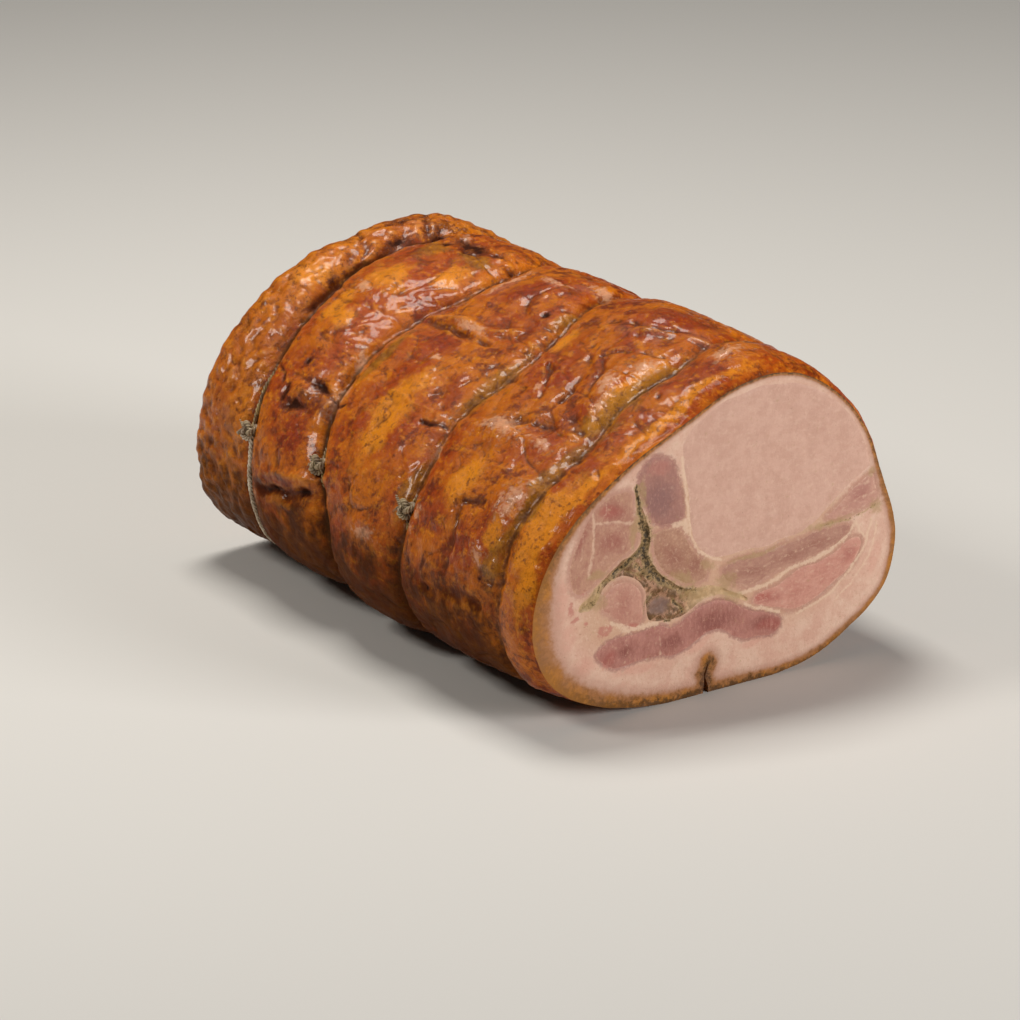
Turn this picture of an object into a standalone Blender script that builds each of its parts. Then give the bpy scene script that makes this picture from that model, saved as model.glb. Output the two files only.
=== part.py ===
"""Porchetta roll: a boned and rolled pork trunk, tied, roasted and cut through at one end."""

import math

import bmesh
import bpy
import numpy as np

MM = 0.001

# The roll lies along Y. The cut face looks toward -Y, the roasted end toward +Y, and it rests on Z = 0.
ROLL_LENGTH = 278.5
CUT_Y = -137.5
FAR_Y = CUT_Y + ROLL_LENGTH
CORE_HEIGHT = 68.0

# Edge of the cut, clockwise from the middle of the base as seen from the front.
CUT_EDGE = (
    (5, -1), (-40, 1), (-70, 9), (-91, 24), (-99.4, 48), (-93, 73),
    (-77, 94), (-50, 113), (-18, 128), (12, 139), (38, 139.5), (62, 127),
    (79, 108.5), (90, 83), (98.5, 56), (94.5, 32), (78, 16), (48, 2.5),
)  # fmt: skip
COLUMNS = 56

# How far the skin stands out beyond the edge of the cut. Each row holds eight places round the girth,
# from the middle of the base up the left side, over the top and down the right side. The last row is
# the rim of the roasted end, which is rounder than the cut.
TIE_SWELLS = (
    (0, 1, 2.5, 2.5, 3, 3.5, 2.5, 1),
    (0, 1.5, 1, 1, 1.5, 2.5, 1.5, 1),
    (0, 0, 0.5, 2.5, 1.5, 0, 0, 0),
    (0, 0, 0, 7.5, 6, 1, 0, 0),
    (0, 0, 0, 14, 11, 1, 0, 0),
)  # fmt: skip

# What the skin swells in addition, half way between two strings: lip, front, middle, back and end.
ZONE_SWELLS = (
    (0, 0.5, 1, 1.5, 3.5, 4, 1.5, 0),
    (0, 1.5, 2.5, 3, 4, 3.5, 2.5, 1.5),
    (0, 4, 3.5, 3.5, 4, 4, 3.5, 2.5),
    (0, 2, 3, 4, 3.5, 3.5, 3, 2),
    (0, 0, 0, 1.5, 2, 2, 1, 0),
)  # fmt: skip

# Where each string runs, as its distance along Y at the same eight places.
TIE_PATHS = (
    (-108, -112, -113.3, -112, -104, -97, -99, -105),
    (-30, -34, -36.5, -28, -22, -12, -20, -27),
    (28, 22, 26.5, 51.3, 45, 47, 40, 34),
    (90, 88, 88, 101.5, 109, 100, 96, 92),
)  # fmt: skip

# Lumps and hollows of the skin: girth and Y of the middle, half sizes along both, and height.
# Girth is measured clockwise from the middle of the base.
SKIN_LUMPS = (
    (178, 60, 8, 19, -3.0), (133, 46, 8, 24, -2.5), (191, -20, 7, 12, -2.0), (127, -84, 7, 20, -2.0),
    (167, -76, 8, 9, -1.5), (217, -86, 8, 14, -2.5), (288, 77, 8, 14, -2.0), (250, 92, 14, 15, 1.6),
    (243, 20, 9, 22, 1.6), (286, -72, 9, 30, 2.0), (202, -60, 9, 16, 1.2), (168, -98, 22, 12, 1.0),
    (248, -90, 20, 13, 1.2), (268, -10, 10, 16, -1.4), (225, 75, 20, 16, 1.0), (150, 0, 18, 18, 0.9),
)  # fmt: skip
LUMP_SEED = 7
HIDDEN_LUMPS = 16
HIDDEN_GIRTH = (315, 500)

GROOVE_DEPTH = 3.6
GROOVE_FLOOR_HALF = 1.1
GROOVE_WALL_HALF = 3.2
GROOVE_EDGE_HALF = 6.5
STRING_RADIUS = 1.2
STRING_SIDES = 6
STRING_CLEARANCE = 0.35
KNOTTED_TIES = (1, 2, 3)
KNOT_COLUMN = 16

# The knot as lumps: shift along Y, height above the middle of the string, and radius.
KNOT_LUMPS = ((0.0, 1.2, 2.4), (2.6, 3.3, 2.4))

# The roasted end: a rounded rim, then a low dome.
RIM_RADIUS = 7.0
DOME_HEIGHT = 3.0
RIM_STEPS = 5
DOME_RINGS = (0.82, 0.58, 0.3)

# The meat narrows and turns a little on its way to the roasted end.
FAR_SCALE = 0.85
FAR_TURN = math.radians(4.0)
FIT_GAP = 0.3
CUTTER_OVERRUN = 3.0
MEAT_STEP = 4.5

# The muscles and the filling, as points round each one on the cut face.
MEATS = {
    "loin_eye": (
        (-19.5, 118.5), (-19.3, 110.5), (-18, 103), (-16.3, 95), (-15.6, 86.5), (-14.8, 78),
        (-12, 71), (-7, 65.5), (0, 62.9), (12, 62.1), (25, 62.3), (38, 63.4),
        (48, 65), (54.5, 68.2), (60.5, 72.8), (68, 79), (76, 84), (82.6, 87.2),
        (82.6, 91.5), (80.2, 99), (75.7, 107.5), (68.9, 116.6), (59.6, 125.2), (48, 131.6),
        (35, 135.3), (20, 136), (6, 133.8), (-6, 129.3), (-15, 124.5),
    ),
    "loin_cap": (
        (-35.5, 116), (-30, 114.8), (-25.6, 110.5), (-22.7, 104), (-20.6, 97), (-19.4, 90.5),
        (-19.3, 86), (-22.5, 83.6), (-29, 83.2), (-34, 84.3), (-37, 88), (-39.3, 93),
        (-41.4, 99), (-42.5, 104), (-43.2, 108.5), (-40, 113),
    ),
    "inner_muscle": (
        (-35.1, 80), (-29, 81), (-23, 80.3), (-18.8, 76.5), (-15.6, 71), (-11.5, 66),
        (-8, 61.5), (-6, 57.5), (-7, 54.6), (-12, 53.4), (-19, 54.9), (-26, 58.9),
        (-31.5, 64), (-35, 70.5), (-36, 76),
    ),
    "flank_muscle": (
        (-55, 102.8), (-50.5, 102.8), (-47.4, 100.5), (-46.6, 95), (-45.9, 90.5), (-44.4, 85),
        (-43.5, 80.6), (-45.4, 77.4), (-50, 74.3), (-56, 71), (-60.5, 68), (-65.5, 65.8),
        (-69.5, 62), (-75, 61), (-78.5, 65), (-79.5, 72), (-77.5, 80), (-74, 87.5),
        (-70, 93.8), (-65, 98.7), (-60.2, 101.8),
    ),
    "fillet": (
        (-62.5, 54), (-59, 59), (-53.6, 61.2), (-47.9, 60.3), (-43.6, 57), (-41.5, 51.4),
        (-41, 45.7), (-41.7, 41), (-44.5, 39.2), (-48.6, 40.5), (-53.6, 44.3), (-59.3, 48.6),
    ),
    "upper_band": (
        (1.8, 56.5), (8, 58.6), (16, 58.3), (26, 59.2), (36, 60.2), (46, 61.2),
        (56, 62.5), (65, 62.7), (72.5, 61.8), (72.8, 58.5), (67, 54.8), (59.5, 52.6),
        (50.7, 50.6), (41.4, 50), (32, 49), (26.4, 47.4), (20, 45.2), (13.6, 45.6),
        (7, 49), (3, 52.7),
    ),
    "outer_band": (
        (19, 37.9), (20.6, 40.3), (24.5, 41), (31, 41.2), (38, 44.3), (45, 47.1),
        (54.3, 47.7), (62.9, 50), (70, 53.2), (75, 55), (78.6, 54), (79.6, 51),
        (77, 45.7), (72, 41.2), (66.4, 37.7), (59.3, 33.8), (52, 30.9), (45, 28.9),
        (38.5, 29.6), (32, 31.8), (26, 34), (20.6, 36.2),
    ),
    "belly_band": (
        (-65, 30.8), (-61, 35), (-55, 36.4), (-48, 36), (-43, 36), (-38, 37),
        (-33.6, 37.3), (-29.3, 36.9), (-26.4, 35.7), (-21.4, 35.7), (-16.4, 38), (-10, 40.6),
        (-3, 41.9), (3, 41.2), (8, 38.9), (12.5, 36.2), (18, 33.7), (25, 31),
        (31, 28.2), (34.5, 25.3), (33.6, 21.6), (29.5, 19.7), (22, 20), (15, 21),
        (9, 23), (5, 26), (0.7, 28.4), (-6.4, 28), (-14.3, 25), (-22, 22.2),
        (-26.4, 22), (-31.4, 23.3), (-40.7, 23), (-53.6, 22.9), (-60, 25.8),
    ),
    "side_wedge": (
        (60, 68.2), (64.3, 71.5), (70, 76), (76, 80), (82, 83), (85.6, 82.6),
        (86.8, 78), (87.9, 72.9), (85, 70.3), (79, 68.6), (72, 67.2), (65, 66.6),
    ),
    "herb_stuffing": (
        (-44.8, 104.6), (-44.2, 101), (-43.2, 97), (-41.4, 92), (-39.2, 87), (-37.8, 82),
        (-37.8, 76.5), (-38.3, 71), (-35, 64.8), (-30, 59.2), (-24.5, 55.2), (-19, 52.2),
        (-13.5, 50.4), (-8, 50.6), (-3, 49.8), (3, 47), (9, 43.8), (15, 40.7),
        (15.9, 38.7), (12.5, 39.6), (7, 42.2), (0, 44.6), (-8, 44), (-14, 41.3),
        (-20, 39.2), (-27, 39.4), (-33.5, 40), (-38.2, 41.5), (-39, 47), (-39.4, 53),
        (-42, 58.9), (-47.3, 62.8), (-54.5, 63.9), (-61, 61.4), (-64.8, 56.2), (-69, 52.5),
        (-74.5, 53), (-73.5, 56.2), (-68.5, 58.5), (-65.8, 62.4), (-60.5, 65), (-56.5, 67.9),
        (-51.5, 71.2), (-46.5, 73.4), (-42.8, 76.5), (-41.6, 81), (-42.5, 86), (-44.1, 91.5),
        (-45.1, 98), (-45.4, 103),
    ),
}  # fmt: skip

# Seam where the two edges of the belly meet under the roll.
SEAM = ((-9.4, -4), (-8.6, 5), (-8.4, 10), (-6.6, 13.5), (-4.9, 10), (-4.6, 5), (-3.8, -4))

LOOKS = {
    "fat_and_rind": ((0.55, 0.22, 0.07), 0.35),
    "loin_eye": ((0.62, 0.38, 0.31), 0.55),
    "loin_cap": ((0.30, 0.15, 0.14), 0.55),
    "inner_muscle": ((0.45, 0.22, 0.17), 0.55),
    "flank_muscle": ((0.48, 0.24, 0.20), 0.55),
    "fillet": ((0.45, 0.20, 0.16), 0.55),
    "upper_band": ((0.40, 0.19, 0.15), 0.55),
    "outer_band": ((0.48, 0.20, 0.17), 0.55),
    "belly_band": ((0.36, 0.13, 0.11), 0.55),
    "side_wedge": ((0.48, 0.22, 0.18), 0.55),
    "herb_stuffing": ((0.16, 0.13, 0.06), 0.8),
    "string_tie": ((0.55, 0.42, 0.25), 0.85),
}


def start_scene(title):
    for old in list(bpy.data.objects):
        bpy.data.objects.remove(old, do_unlink=True)
    parts = bpy.data.collections.new(title)
    cutters = bpy.data.collections.new("cutters")
    cutters.hide_render = True
    for group in (parts, cutters):
        bpy.context.scene.collection.children.link(group)
    return parts, cutters


def make_material(name):
    colour, roughness = LOOKS[name]
    material = bpy.data.materials.new(name)
    material.use_nodes = True
    shader = material.node_tree.nodes["Principled BSDF"]
    shader.inputs["Base Color"].default_value = (*colour, 1.0)
    shader.inputs["Roughness"].default_value = roughness
    return material


def blend_knots(before, start, end, after, t):
    """Point at t between two knots of a smooth curve, with the knot on either side."""
    slope_in = (end - before) / 2
    slope_out = (after - start) / 2
    rise = 3 * t**2 - 2 * t**3
    return start + (end - start) * rise + slope_in * (t - 2 * t**2 + t**3) + slope_out * (t**3 - t**2)


def clockwise(knots):
    """The knots as an array that runs clockwise as seen from the front."""
    knots = np.array(knots, float)
    after = np.roll(knots, -1, axis=0)
    area = (knots[:, 0] * after[:, 1] - knots[:, 1] * after[:, 0]).sum() / 2
    return knots if area < 0 else knots[::-1].copy()


def closed_outline(knots, count, steps=24):
    """Smooth closed curve through the knots, as evenly spaced points that run clockwise."""
    knots = clockwise(knots)
    following = np.roll(knots, -1, axis=0)
    fine = []
    for k in range(len(knots)):
        for t in np.arange(steps) / steps:
            fine.append(blend_knots(knots[k - 1], knots[k], following[k], following[(k + 1) % len(knots)], t))
    fine = np.vstack([fine, fine[:1]])
    run = np.concatenate([[0.0], np.cumsum(np.linalg.norm(np.diff(fine, axis=0), axis=1))])
    places = np.arange(count) / count * run[-1]
    return np.stack([np.interp(places, run, fine[:, 0]), np.interp(places, run, fine[:, 1])], axis=1)


def outline_length(knots):
    """Length of the smooth closed curve through the knots."""
    points = closed_outline(knots, 400)
    return np.linalg.norm(np.roll(points, -1, axis=0) - points, axis=1).sum()


def outward_normals(outline):
    """Unit normals of an outline that runs clockwise."""
    run = np.roll(outline, -1, axis=0) - np.roll(outline, 1, axis=0)
    run /= np.linalg.norm(run, axis=1)[:, None]
    return np.stack([-run[:, 1], run[:, 0]], axis=1)


def around(values):
    """A value for every column, from eight places round the girth."""
    knots = np.array(values, float)
    place = np.arange(COLUMNS) / COLUMNS * len(knots)
    k = place.astype(int)
    count = len(knots)
    return blend_knots(knots[k - 1], knots[k], knots[(k + 1) % count], knots[(k + 2) % count], place - k)


def tie_line(index):
    return around(TIE_PATHS[index])


def rim_shift(angle):
    """How far the rounded rim has gone along Y and inward, at an angle from 0 to 90 degrees."""
    return RIM_RADIUS * math.sin(angle), RIM_RADIUS * (1 - math.cos(angle))


def skin_ring(outline, swell, lift):
    """One ring of the skin as X and Z: pushed out by the swell, flat on the base, then pulled in by lift."""
    normals = outward_normals(outline)
    ring = outline + normals * swell[:, None]
    ring[:, 1] = np.maximum(ring[:, 1], 0.0)
    return ring - normals * lift


def edge_swell(index):
    """Swell at a tie, or at the rim, which comes after the last one. At the cut it is nil."""
    inside = 0 <= index < len(TIE_SWELLS)
    return around(TIE_SWELLS[index]) if inside else np.zeros(COLUMNS)


def all_lumps():
    """The lumps that show, and as many again by chance on the side away from the cut."""
    chance = np.random.default_rng(LUMP_SEED)
    lumps = list(SKIN_LUMPS)
    for _ in range(HIDDEN_LUMPS):
        girth = chance.uniform(*HIDDEN_GIRTH)
        along = chance.uniform(CUT_Y + 20, FAR_Y - 30)
        lumps.append((girth, along, chance.uniform(9, 18), chance.uniform(9, 24), chance.uniform(-2, 1.8)))
    return lumps


def lump_height(along):
    """Height of the lumps under a ring whose columns lie at these Y."""
    girth = np.arange(COLUMNS) / COLUMNS * outline_length(CUT_EDGE)
    height = np.zeros(COLUMNS)
    for middle, line, half_girth, half_along, rise in all_lumps():
        reach = ((girth - middle) / half_girth) ** 2 + ((along - line) / half_along) ** 2
        height += rise * np.exp(-reach)
    return height


def zone_rows(start, end, zone, steps):
    """Rows from one line to the next, with the swell between them. Each row is its Y, swell and lift."""
    first, last, extra = edge_swell(zone - 1), edge_swell(zone), around(ZONE_SWELLS[zone])
    rows = []
    for t in steps:
        along = start + (end - start) * t
        arch = math.sqrt(math.sin(math.pi * t))
        rows.append((along, first + (last - first) * t + (extra + lump_height(along)) * arch, 0.0))
    return rows


def groove_rows(index):
    line = tie_line(index)
    edge = edge_swell(index)
    half = (-GROOVE_EDGE_HALF, -GROOVE_WALL_HALF, -GROOVE_FLOOR_HALF)
    lift = (0.0, GROOVE_DEPTH * 0.3, GROOVE_DEPTH)
    rows = [(line + side, edge, depth) for side, depth in zip(half, lift)]
    return rows + [(line - side, edge, depth) for side, depth in reversed(list(zip(half, lift)))]


def skin_rows():
    ones = np.ones(COLUMNS)
    rim_start = FAR_Y - DOME_HEIGHT - RIM_RADIUS
    starts = [CUT_Y * ones] + [tie_line(k) + GROOVE_EDGE_HALF for k in range(4)]
    ends = [tie_line(k) - GROOVE_EDGE_HALF for k in range(4)] + [rim_start * ones]
    steps = ((0.0, 0.08, 0.3, 0.7), np.arange(1, 8) / 8, np.arange(1, 8) / 8, (0.2, 0.4, 0.6, 0.8), (0.5,))
    rows = []
    for zone in range(5):
        rows += zone_rows(starts[zone], ends[zone], zone, steps[zone])
        if zone < 4:
            rows += groove_rows(zone)
    for step in range(RIM_STEPS + 1):
        along, inward = rim_shift(step / RIM_STEPS * math.pi / 2)
        rows.append(((rim_start + along) * ones, edge_swell(4), inward))
    return rows


def dome_y(points, rim):
    """Y of the roasted end at some X and Z, from its share of the way from the middle to the rim."""
    centre = np.array((0.0, CORE_HEIGHT))
    reach, edge = points - centre, rim - centre
    bearing = np.arctan2(edge[:, 1], edge[:, 0])
    order = np.argsort(bearing)
    radius = np.linalg.norm(edge, axis=1)[order]
    towards = np.arctan2(reach[:, 1], reach[:, 0])
    share = np.linalg.norm(reach, axis=1) / np.interp(towards, bearing[order], radius, period=2 * math.pi)
    return FAR_Y - DOME_HEIGHT * share**2


def mesh_object(name, points, faces, group, look=None):
    mesh = bpy.data.meshes.new(name)
    bm = bmesh.new()
    verts = [bm.verts.new(point) for point in np.asarray(points) * MM]
    for face in faces:
        bm.faces.new([verts[k] for k in face])
    bmesh.ops.recalc_face_normals(bm, faces=bm.faces)
    bm.to_mesh(mesh)
    bm.free()
    part = bpy.data.objects.new(name, mesh)
    group.objects.link(part)
    if look:
        mesh.materials.append(make_material(look))
    return part


def bridge(first, second, count):
    """Quads between two closed rings of the same count, given their first vertices."""
    return [(first + k, first + (k + 1) % count, second + (k + 1) % count, second + k) for k in range(count)]


def make_body(group):
    outline = closed_outline(CUT_EDGE, COLUMNS)
    rings = []
    for along, swell, lift in skin_rows():
        ring = skin_ring(outline, swell, lift)
        rings.append(np.stack([ring[:, 0], along, ring[:, 1]], axis=1))
    rim = rings[-1][:, [0, 2]]
    centre = np.array((0.0, CORE_HEIGHT))
    for share in DOME_RINGS:
        ring = centre + (rim - centre) * share
        rings.append(np.stack([ring[:, 0], dome_y(ring, rim), ring[:, 1]], axis=1))
    points = np.vstack(rings + [[(0.0, FAR_Y, CORE_HEIGHT)]])
    faces = [tuple(range(COLUMNS))]
    for k in range(len(rings) - 1):
        faces += bridge(k * COLUMNS, (k + 1) * COLUMNS, COLUMNS)
    last = (len(rings) - 1) * COLUMNS
    faces += [(last + k, last + (k + 1) % COLUMNS, last + COLUMNS) for k in range(COLUMNS)]
    return mesh_object("fat_and_rind", points, faces, group, "fat_and_rind"), rim


def far_outline(outline):
    """The same outline at the roasted end: narrower and turned about the middle of the roll."""
    centre = np.array((0.0, CORE_HEIGHT))
    cos, sin = math.cos(FAR_TURN), math.sin(FAR_TURN)
    turn = np.array(((cos, -sin), (sin, cos)))
    return centre + (outline - centre) @ turn.T * FAR_SCALE


def loft_solid(name, near, far, near_y, far_y, group, look=None):
    """Solid between two outlines of the same count. Each end has one Y, or one for every point."""
    count = len(near)
    points = np.zeros((2 * count, 3))
    points[:count, [0, 2]], points[:count, 1] = near, near_y
    points[count:, [0, 2]], points[count:, 1] = far, far_y
    faces = [tuple(range(count)), tuple(range(count, 2 * count))] + bridge(0, count, count)
    return mesh_object(name, points, faces, group, look)


def make_meat(name, rim, parts, cutters):
    """One muscle or the filling, from the cut face to the roasted end, and the tunnel that holds it."""
    knots = MEATS[name]
    near = closed_outline(knots, round(outline_length(knots) / MEAT_STEP))
    far = far_outline(near)
    loft_solid(name, near, far, CUT_Y, dome_y(far, rim), parts, name)
    near = near + outward_normals(near) * FIT_GAP
    far = far_outline(near)
    step = (far - near) * CUTTER_OVERRUN / ROLL_LENGTH
    ends = (CUT_Y - CUTTER_OVERRUN, FAR_Y + CUTTER_OVERRUN)
    loft_solid("cut_" + name, near - step, far + step, *ends, cutters)


def make_seam(cutters):
    seam = np.array(SEAM, float)
    loft_solid("cut_seam", seam, seam, CUT_Y - CUTTER_OVERRUN, FAR_Y + CUTTER_OVERRUN, cutters)


def make_tie(index, group):
    """String lying in its groove, with the place, outward normal and Y of its knot."""
    outline = closed_outline(CUT_EDGE, COLUMNS)
    lift = GROOVE_DEPTH - STRING_CLEARANCE - STRING_RADIUS
    ring = skin_ring(outline, edge_swell(index), lift)
    normals = outward_normals(outline)
    line = tie_line(index)
    points = []
    for column in range(COLUMNS):
        for side in range(STRING_SIDES):
            angle = (side + 0.5) / STRING_SIDES * 2 * math.pi
            across = ring[column] + normals[column] * STRING_RADIUS * math.sin(angle)
            points.append((across[0], line[column] + STRING_RADIUS * math.cos(angle), across[1]))
    faces = []
    for column in range(COLUMNS):
        start = column * STRING_SIDES
        after = (column + 1) % COLUMNS * STRING_SIDES
        faces += bridge(start, after, STRING_SIDES)
    tie = mesh_object(f"string_tie_{index + 1}", points, faces, group, "string_tie")
    return tie, ring[KNOT_COLUMN], normals[KNOT_COLUMN], line[KNOT_COLUMN]


def make_lump(name, middle, radius, group):
    mesh = bpy.data.meshes.new(name)
    bm = bmesh.new()
    bmesh.ops.create_icosphere(bm, subdivisions=2, radius=radius * MM)
    bmesh.ops.translate(bm, verts=bm.verts, vec=middle * MM)
    bm.to_mesh(mesh)
    bm.free()
    lump = bpy.data.objects.new(name, mesh)
    lump.hide_render = True
    lump.display_type = "WIRE"
    group.objects.link(lump)
    return lump


def add_knot(tie, place, normal, along, group):
    """Knot fused to a tie, as lumps that stand clear of the skin."""
    for number, (shift, height, radius) in enumerate(KNOT_LUMPS):
        middle = np.array((place[0], along + shift, place[1]))
        middle += np.array((normal[0], 0.0, normal[1])) * height
        join = tie.modifiers.new(f"knot_{number}", "BOOLEAN")
        join.operation = "UNION"
        join.solver = "EXACT"
        join.object = make_lump(f"{tie.name}_knot_{number}", middle, radius, group)


def cut_through(body, cutters):
    for cutter in list(cutters.objects):
        cutter.hide_render = True
        cutter.display_type = "WIRE"
    cut = body.modifiers.new("meat_and_seam", "BOOLEAN")
    cut.operation = "DIFFERENCE"
    cut.solver = "EXACT"
    cut.operand_type = "COLLECTION"
    cut.collection = cutters


def main():
    parts, cutters = start_scene("porchetta_roll")
    body, rim = make_body(parts)
    for name in MEATS:
        make_meat(name, rim, parts, cutters)
    make_seam(cutters)
    cut_through(body, cutters)
    knots = bpy.data.collections.new("knots")
    knots.hide_render = True
    bpy.context.scene.collection.children.link(knots)
    for index in range(len(TIE_PATHS)):
        tie, place, normal, along = make_tie(index, parts)
        if index in KNOTTED_TIES:
            add_knot(tie, place, normal, along, knots)
    print("sub-parts:", ", ".join(part.name for part in parts.objects))


main()
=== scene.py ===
# %% [markdown]
# # A porchetta roll, cut open
# Porchetta is a boned pork trunk, spread with herbs, rolled round its own loin, tied with string and
# roasted for hours. This lesson dresses a plain solid model of one. The skin is browned and glossy, the cut
# shows pale loin, streaks of lean, fat and a dark seam of herbs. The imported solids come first, because every
# piece made here lies exactly where they are.

import math

import bpy
import numpy as np
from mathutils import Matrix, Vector
from mathutils.geometry import delaunay_2d_cdt
from mathutils.kdtree import KDTree


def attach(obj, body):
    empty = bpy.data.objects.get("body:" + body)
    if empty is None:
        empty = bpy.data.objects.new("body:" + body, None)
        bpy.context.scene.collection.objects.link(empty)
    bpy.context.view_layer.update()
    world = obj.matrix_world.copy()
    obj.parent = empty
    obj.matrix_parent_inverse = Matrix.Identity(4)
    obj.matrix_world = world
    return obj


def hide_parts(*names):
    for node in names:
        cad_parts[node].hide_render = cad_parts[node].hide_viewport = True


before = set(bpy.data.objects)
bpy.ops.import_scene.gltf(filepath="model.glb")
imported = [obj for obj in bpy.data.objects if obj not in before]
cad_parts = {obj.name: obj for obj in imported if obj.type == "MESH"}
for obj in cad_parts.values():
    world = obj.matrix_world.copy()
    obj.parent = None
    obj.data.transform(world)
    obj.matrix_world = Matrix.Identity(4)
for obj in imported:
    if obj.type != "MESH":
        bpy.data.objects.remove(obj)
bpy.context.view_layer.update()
print("solids:", ", ".join(sorted(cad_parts)))

# %% [markdown]
# ## Measures
# A roll like this is easiest to describe unrolled. Any point of the skin has a girth, measured in
# millimetres round the roll from the middle of the base, up the left side and over the top, and a place
# along Y from the cut face to the roasted end. Every crease and blister below is placed with those two
# numbers, so the same list serves the shape and the colour.

# %% Sizes of the roll in millimetres
MM = 0.001
LENGTH = 278.5
CUT_Y = -137.5
FAR_Y = CUT_Y + LENGTH
CORE = np.array((0.0, 68.0))
RIM_RADIUS = 7.0
DOME_HEIGHT = 3.0
RIM_START = FAR_Y - DOME_HEIGHT - RIM_RADIUS

# Edge of the cut as X and Z, clockwise from the middle of the base as seen from the front.
CUT_EDGE = (
    (5, -1), (-40, 1), (-70, 9), (-91, 24), (-99.4, 48), (-93, 73),
    (-77, 94), (-50, 113), (-18, 128), (12, 139), (38, 139.5), (62, 127),
    (79, 108.5), (90, 83), (98.5, 56), (94.5, 32), (78, 16), (48, 2.5),
)  # fmt: skip


# %% [markdown]
# Every outline here is a short list of points, and a smooth curve runs through all of them. A curve object
# of Blender could do the same, but plain numbers let each point of the skin be placed by calculation.

# %% Smooth closed curves
def blend_knots(knots, k, t):
    """Point at t between knot k and the next one of a smooth closed curve."""
    before, start, end, after = (knots[(k + step) % len(knots)] for step in (-1, 0, 1, 2))
    slope_in = (end - before) / 2
    slope_out = (after - start) / 2
    rise = 3 * t**2 - 2 * t**3
    return start + (end - start) * rise + slope_in * (t - 2 * t**2 + t**3) + slope_out * (t**3 - t**2)


def closed_outline(knots, spacing, steps=24):
    """Smooth closed curve through the knots, clockwise, with points about this far apart."""
    knots = np.array(knots, float)
    after = np.roll(knots, -1, axis=0)
    if (knots[:, 0] * after[:, 1] - knots[:, 1] * after[:, 0]).sum() > 0:
        knots = knots[::-1].copy()
    t = np.arange(steps)[:, None] / steps
    fine = np.vstack([blend_knots(knots, k, t) for k in range(len(knots))] + [knots[:1]])
    run = np.concatenate([[0.0], np.cumsum(np.linalg.norm(np.diff(fine, axis=0), axis=1))])
    number = max(8, round(run[-1] / spacing))
    places = np.arange(number) / number * run[-1]
    return np.stack([np.interp(places, run, fine[:, 0]), np.interp(places, run, fine[:, 1])], axis=1)


def outward_normals(outline):
    """Outward direction at each point of a clockwise outline."""
    run = np.roll(outline, -1, axis=0) - np.roll(outline, 1, axis=0)
    run /= np.linalg.norm(run, axis=1)[:, None]
    return np.stack([-run[:, 1], run[:, 0]], axis=1)


EDGE = closed_outline(CUT_EDGE, 0.25)
EDGE_NORMALS = outward_normals(EDGE)
GIRTH = np.linalg.norm(np.roll(EDGE, -1, axis=0) - EDGE, axis=1).sum()
print(f"girth of the roll: {GIRTH:.1f} mm")


def edge_at(girth):
    """Point of the cut edge and its outward normal, at any girth."""
    places = np.arange(len(EDGE)) / len(EDGE) * GIRTH
    columns = [EDGE[:, 0], EDGE[:, 1], EDGE_NORMALS[:, 0], EDGE_NORMALS[:, 1]]
    found = [np.interp(girth, places, column, period=GIRTH) for column in columns]
    return np.stack(found[:2], -1), np.stack(found[2:], -1)


def round_girth(values, girth):
    """A value at any girth, from evenly spaced places that start at the middle of the base."""
    knots = np.array(values, float)
    place = np.asarray(girth) / GIRTH * len(knots)
    k = np.floor(place).astype(int)
    return blend_knots(knots, k, place - k)


# %% [markdown]
# ## Camera and light
# The picture is taken with a long lens from a little above, so the far end hardly shrinks. The lens is
# worked out from the picture's own perspective. Food is lit from above and behind, because wide soft light
# that comes from there slides along wet surfaces and shows their gloss, and a broad light in front keeps
# the cut bright.

# %% Camera
AZIMUTH, ELEVATION, DISTANCE = math.radians(-35), math.radians(20), 2.4
TARGET = Vector((-0.01458, 0.0, 0.04596))
back = Vector(
    (
        math.sin(AZIMUTH) * math.cos(ELEVATION),
        -math.cos(AZIMUTH) * math.cos(ELEVATION),
        math.sin(ELEVATION),
    )
)
camera_data = bpy.data.cameras.new("long_lens")
camera_data.lens = 186.35
camera_data.sensor_width = 36.0
camera_data.clip_start, camera_data.clip_end = 0.05, 50.0
camera = bpy.data.objects.new("camera", camera_data)
camera.location = TARGET + back * DISTANCE
camera.rotation_euler = back.to_track_quat("Z", "Y").to_euler()
bpy.context.scene.collection.objects.link(camera)
bpy.context.scene.camera = camera
print("camera stands at", [round(v, 3) for v in camera.location])


# %% [markdown]
# Two warm softboxes hang over the roll, one behind it and one to its left, and a broad one stands in front
# of the cut. The room is almost dark, so that the creases of the skin keep their shadows. The floor is a
# plain pale sheet.

# %% Lights and floor
MIDDLE = np.array((0.0, 0.0, 0.07))
WARM_WHITE, NEAR_WHITE = (1.0, 0.96, 0.9), (1.0, 0.985, 0.965)


def soft_light(name, direction, distance, width, height, power, tint):
    """Flat rectangular light that faces the middle of the roll, at this distance in a direction from it."""
    direction = np.array(direction, float)
    place = tuple(MIDDLE + direction / np.linalg.norm(direction) * distance)
    data = bpy.data.lights.new(name, "AREA")
    data.shape = "RECTANGLE"
    data.size, data.size_y = width, height
    data.energy = power
    data.color = tint
    light = bpy.data.objects.new(name, data)
    light.location = place
    light.rotation_euler = (Vector(place) - Vector(MIDDLE)).to_track_quat("Z", "Y").to_euler()
    bpy.context.scene.collection.objects.link(light)


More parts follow.
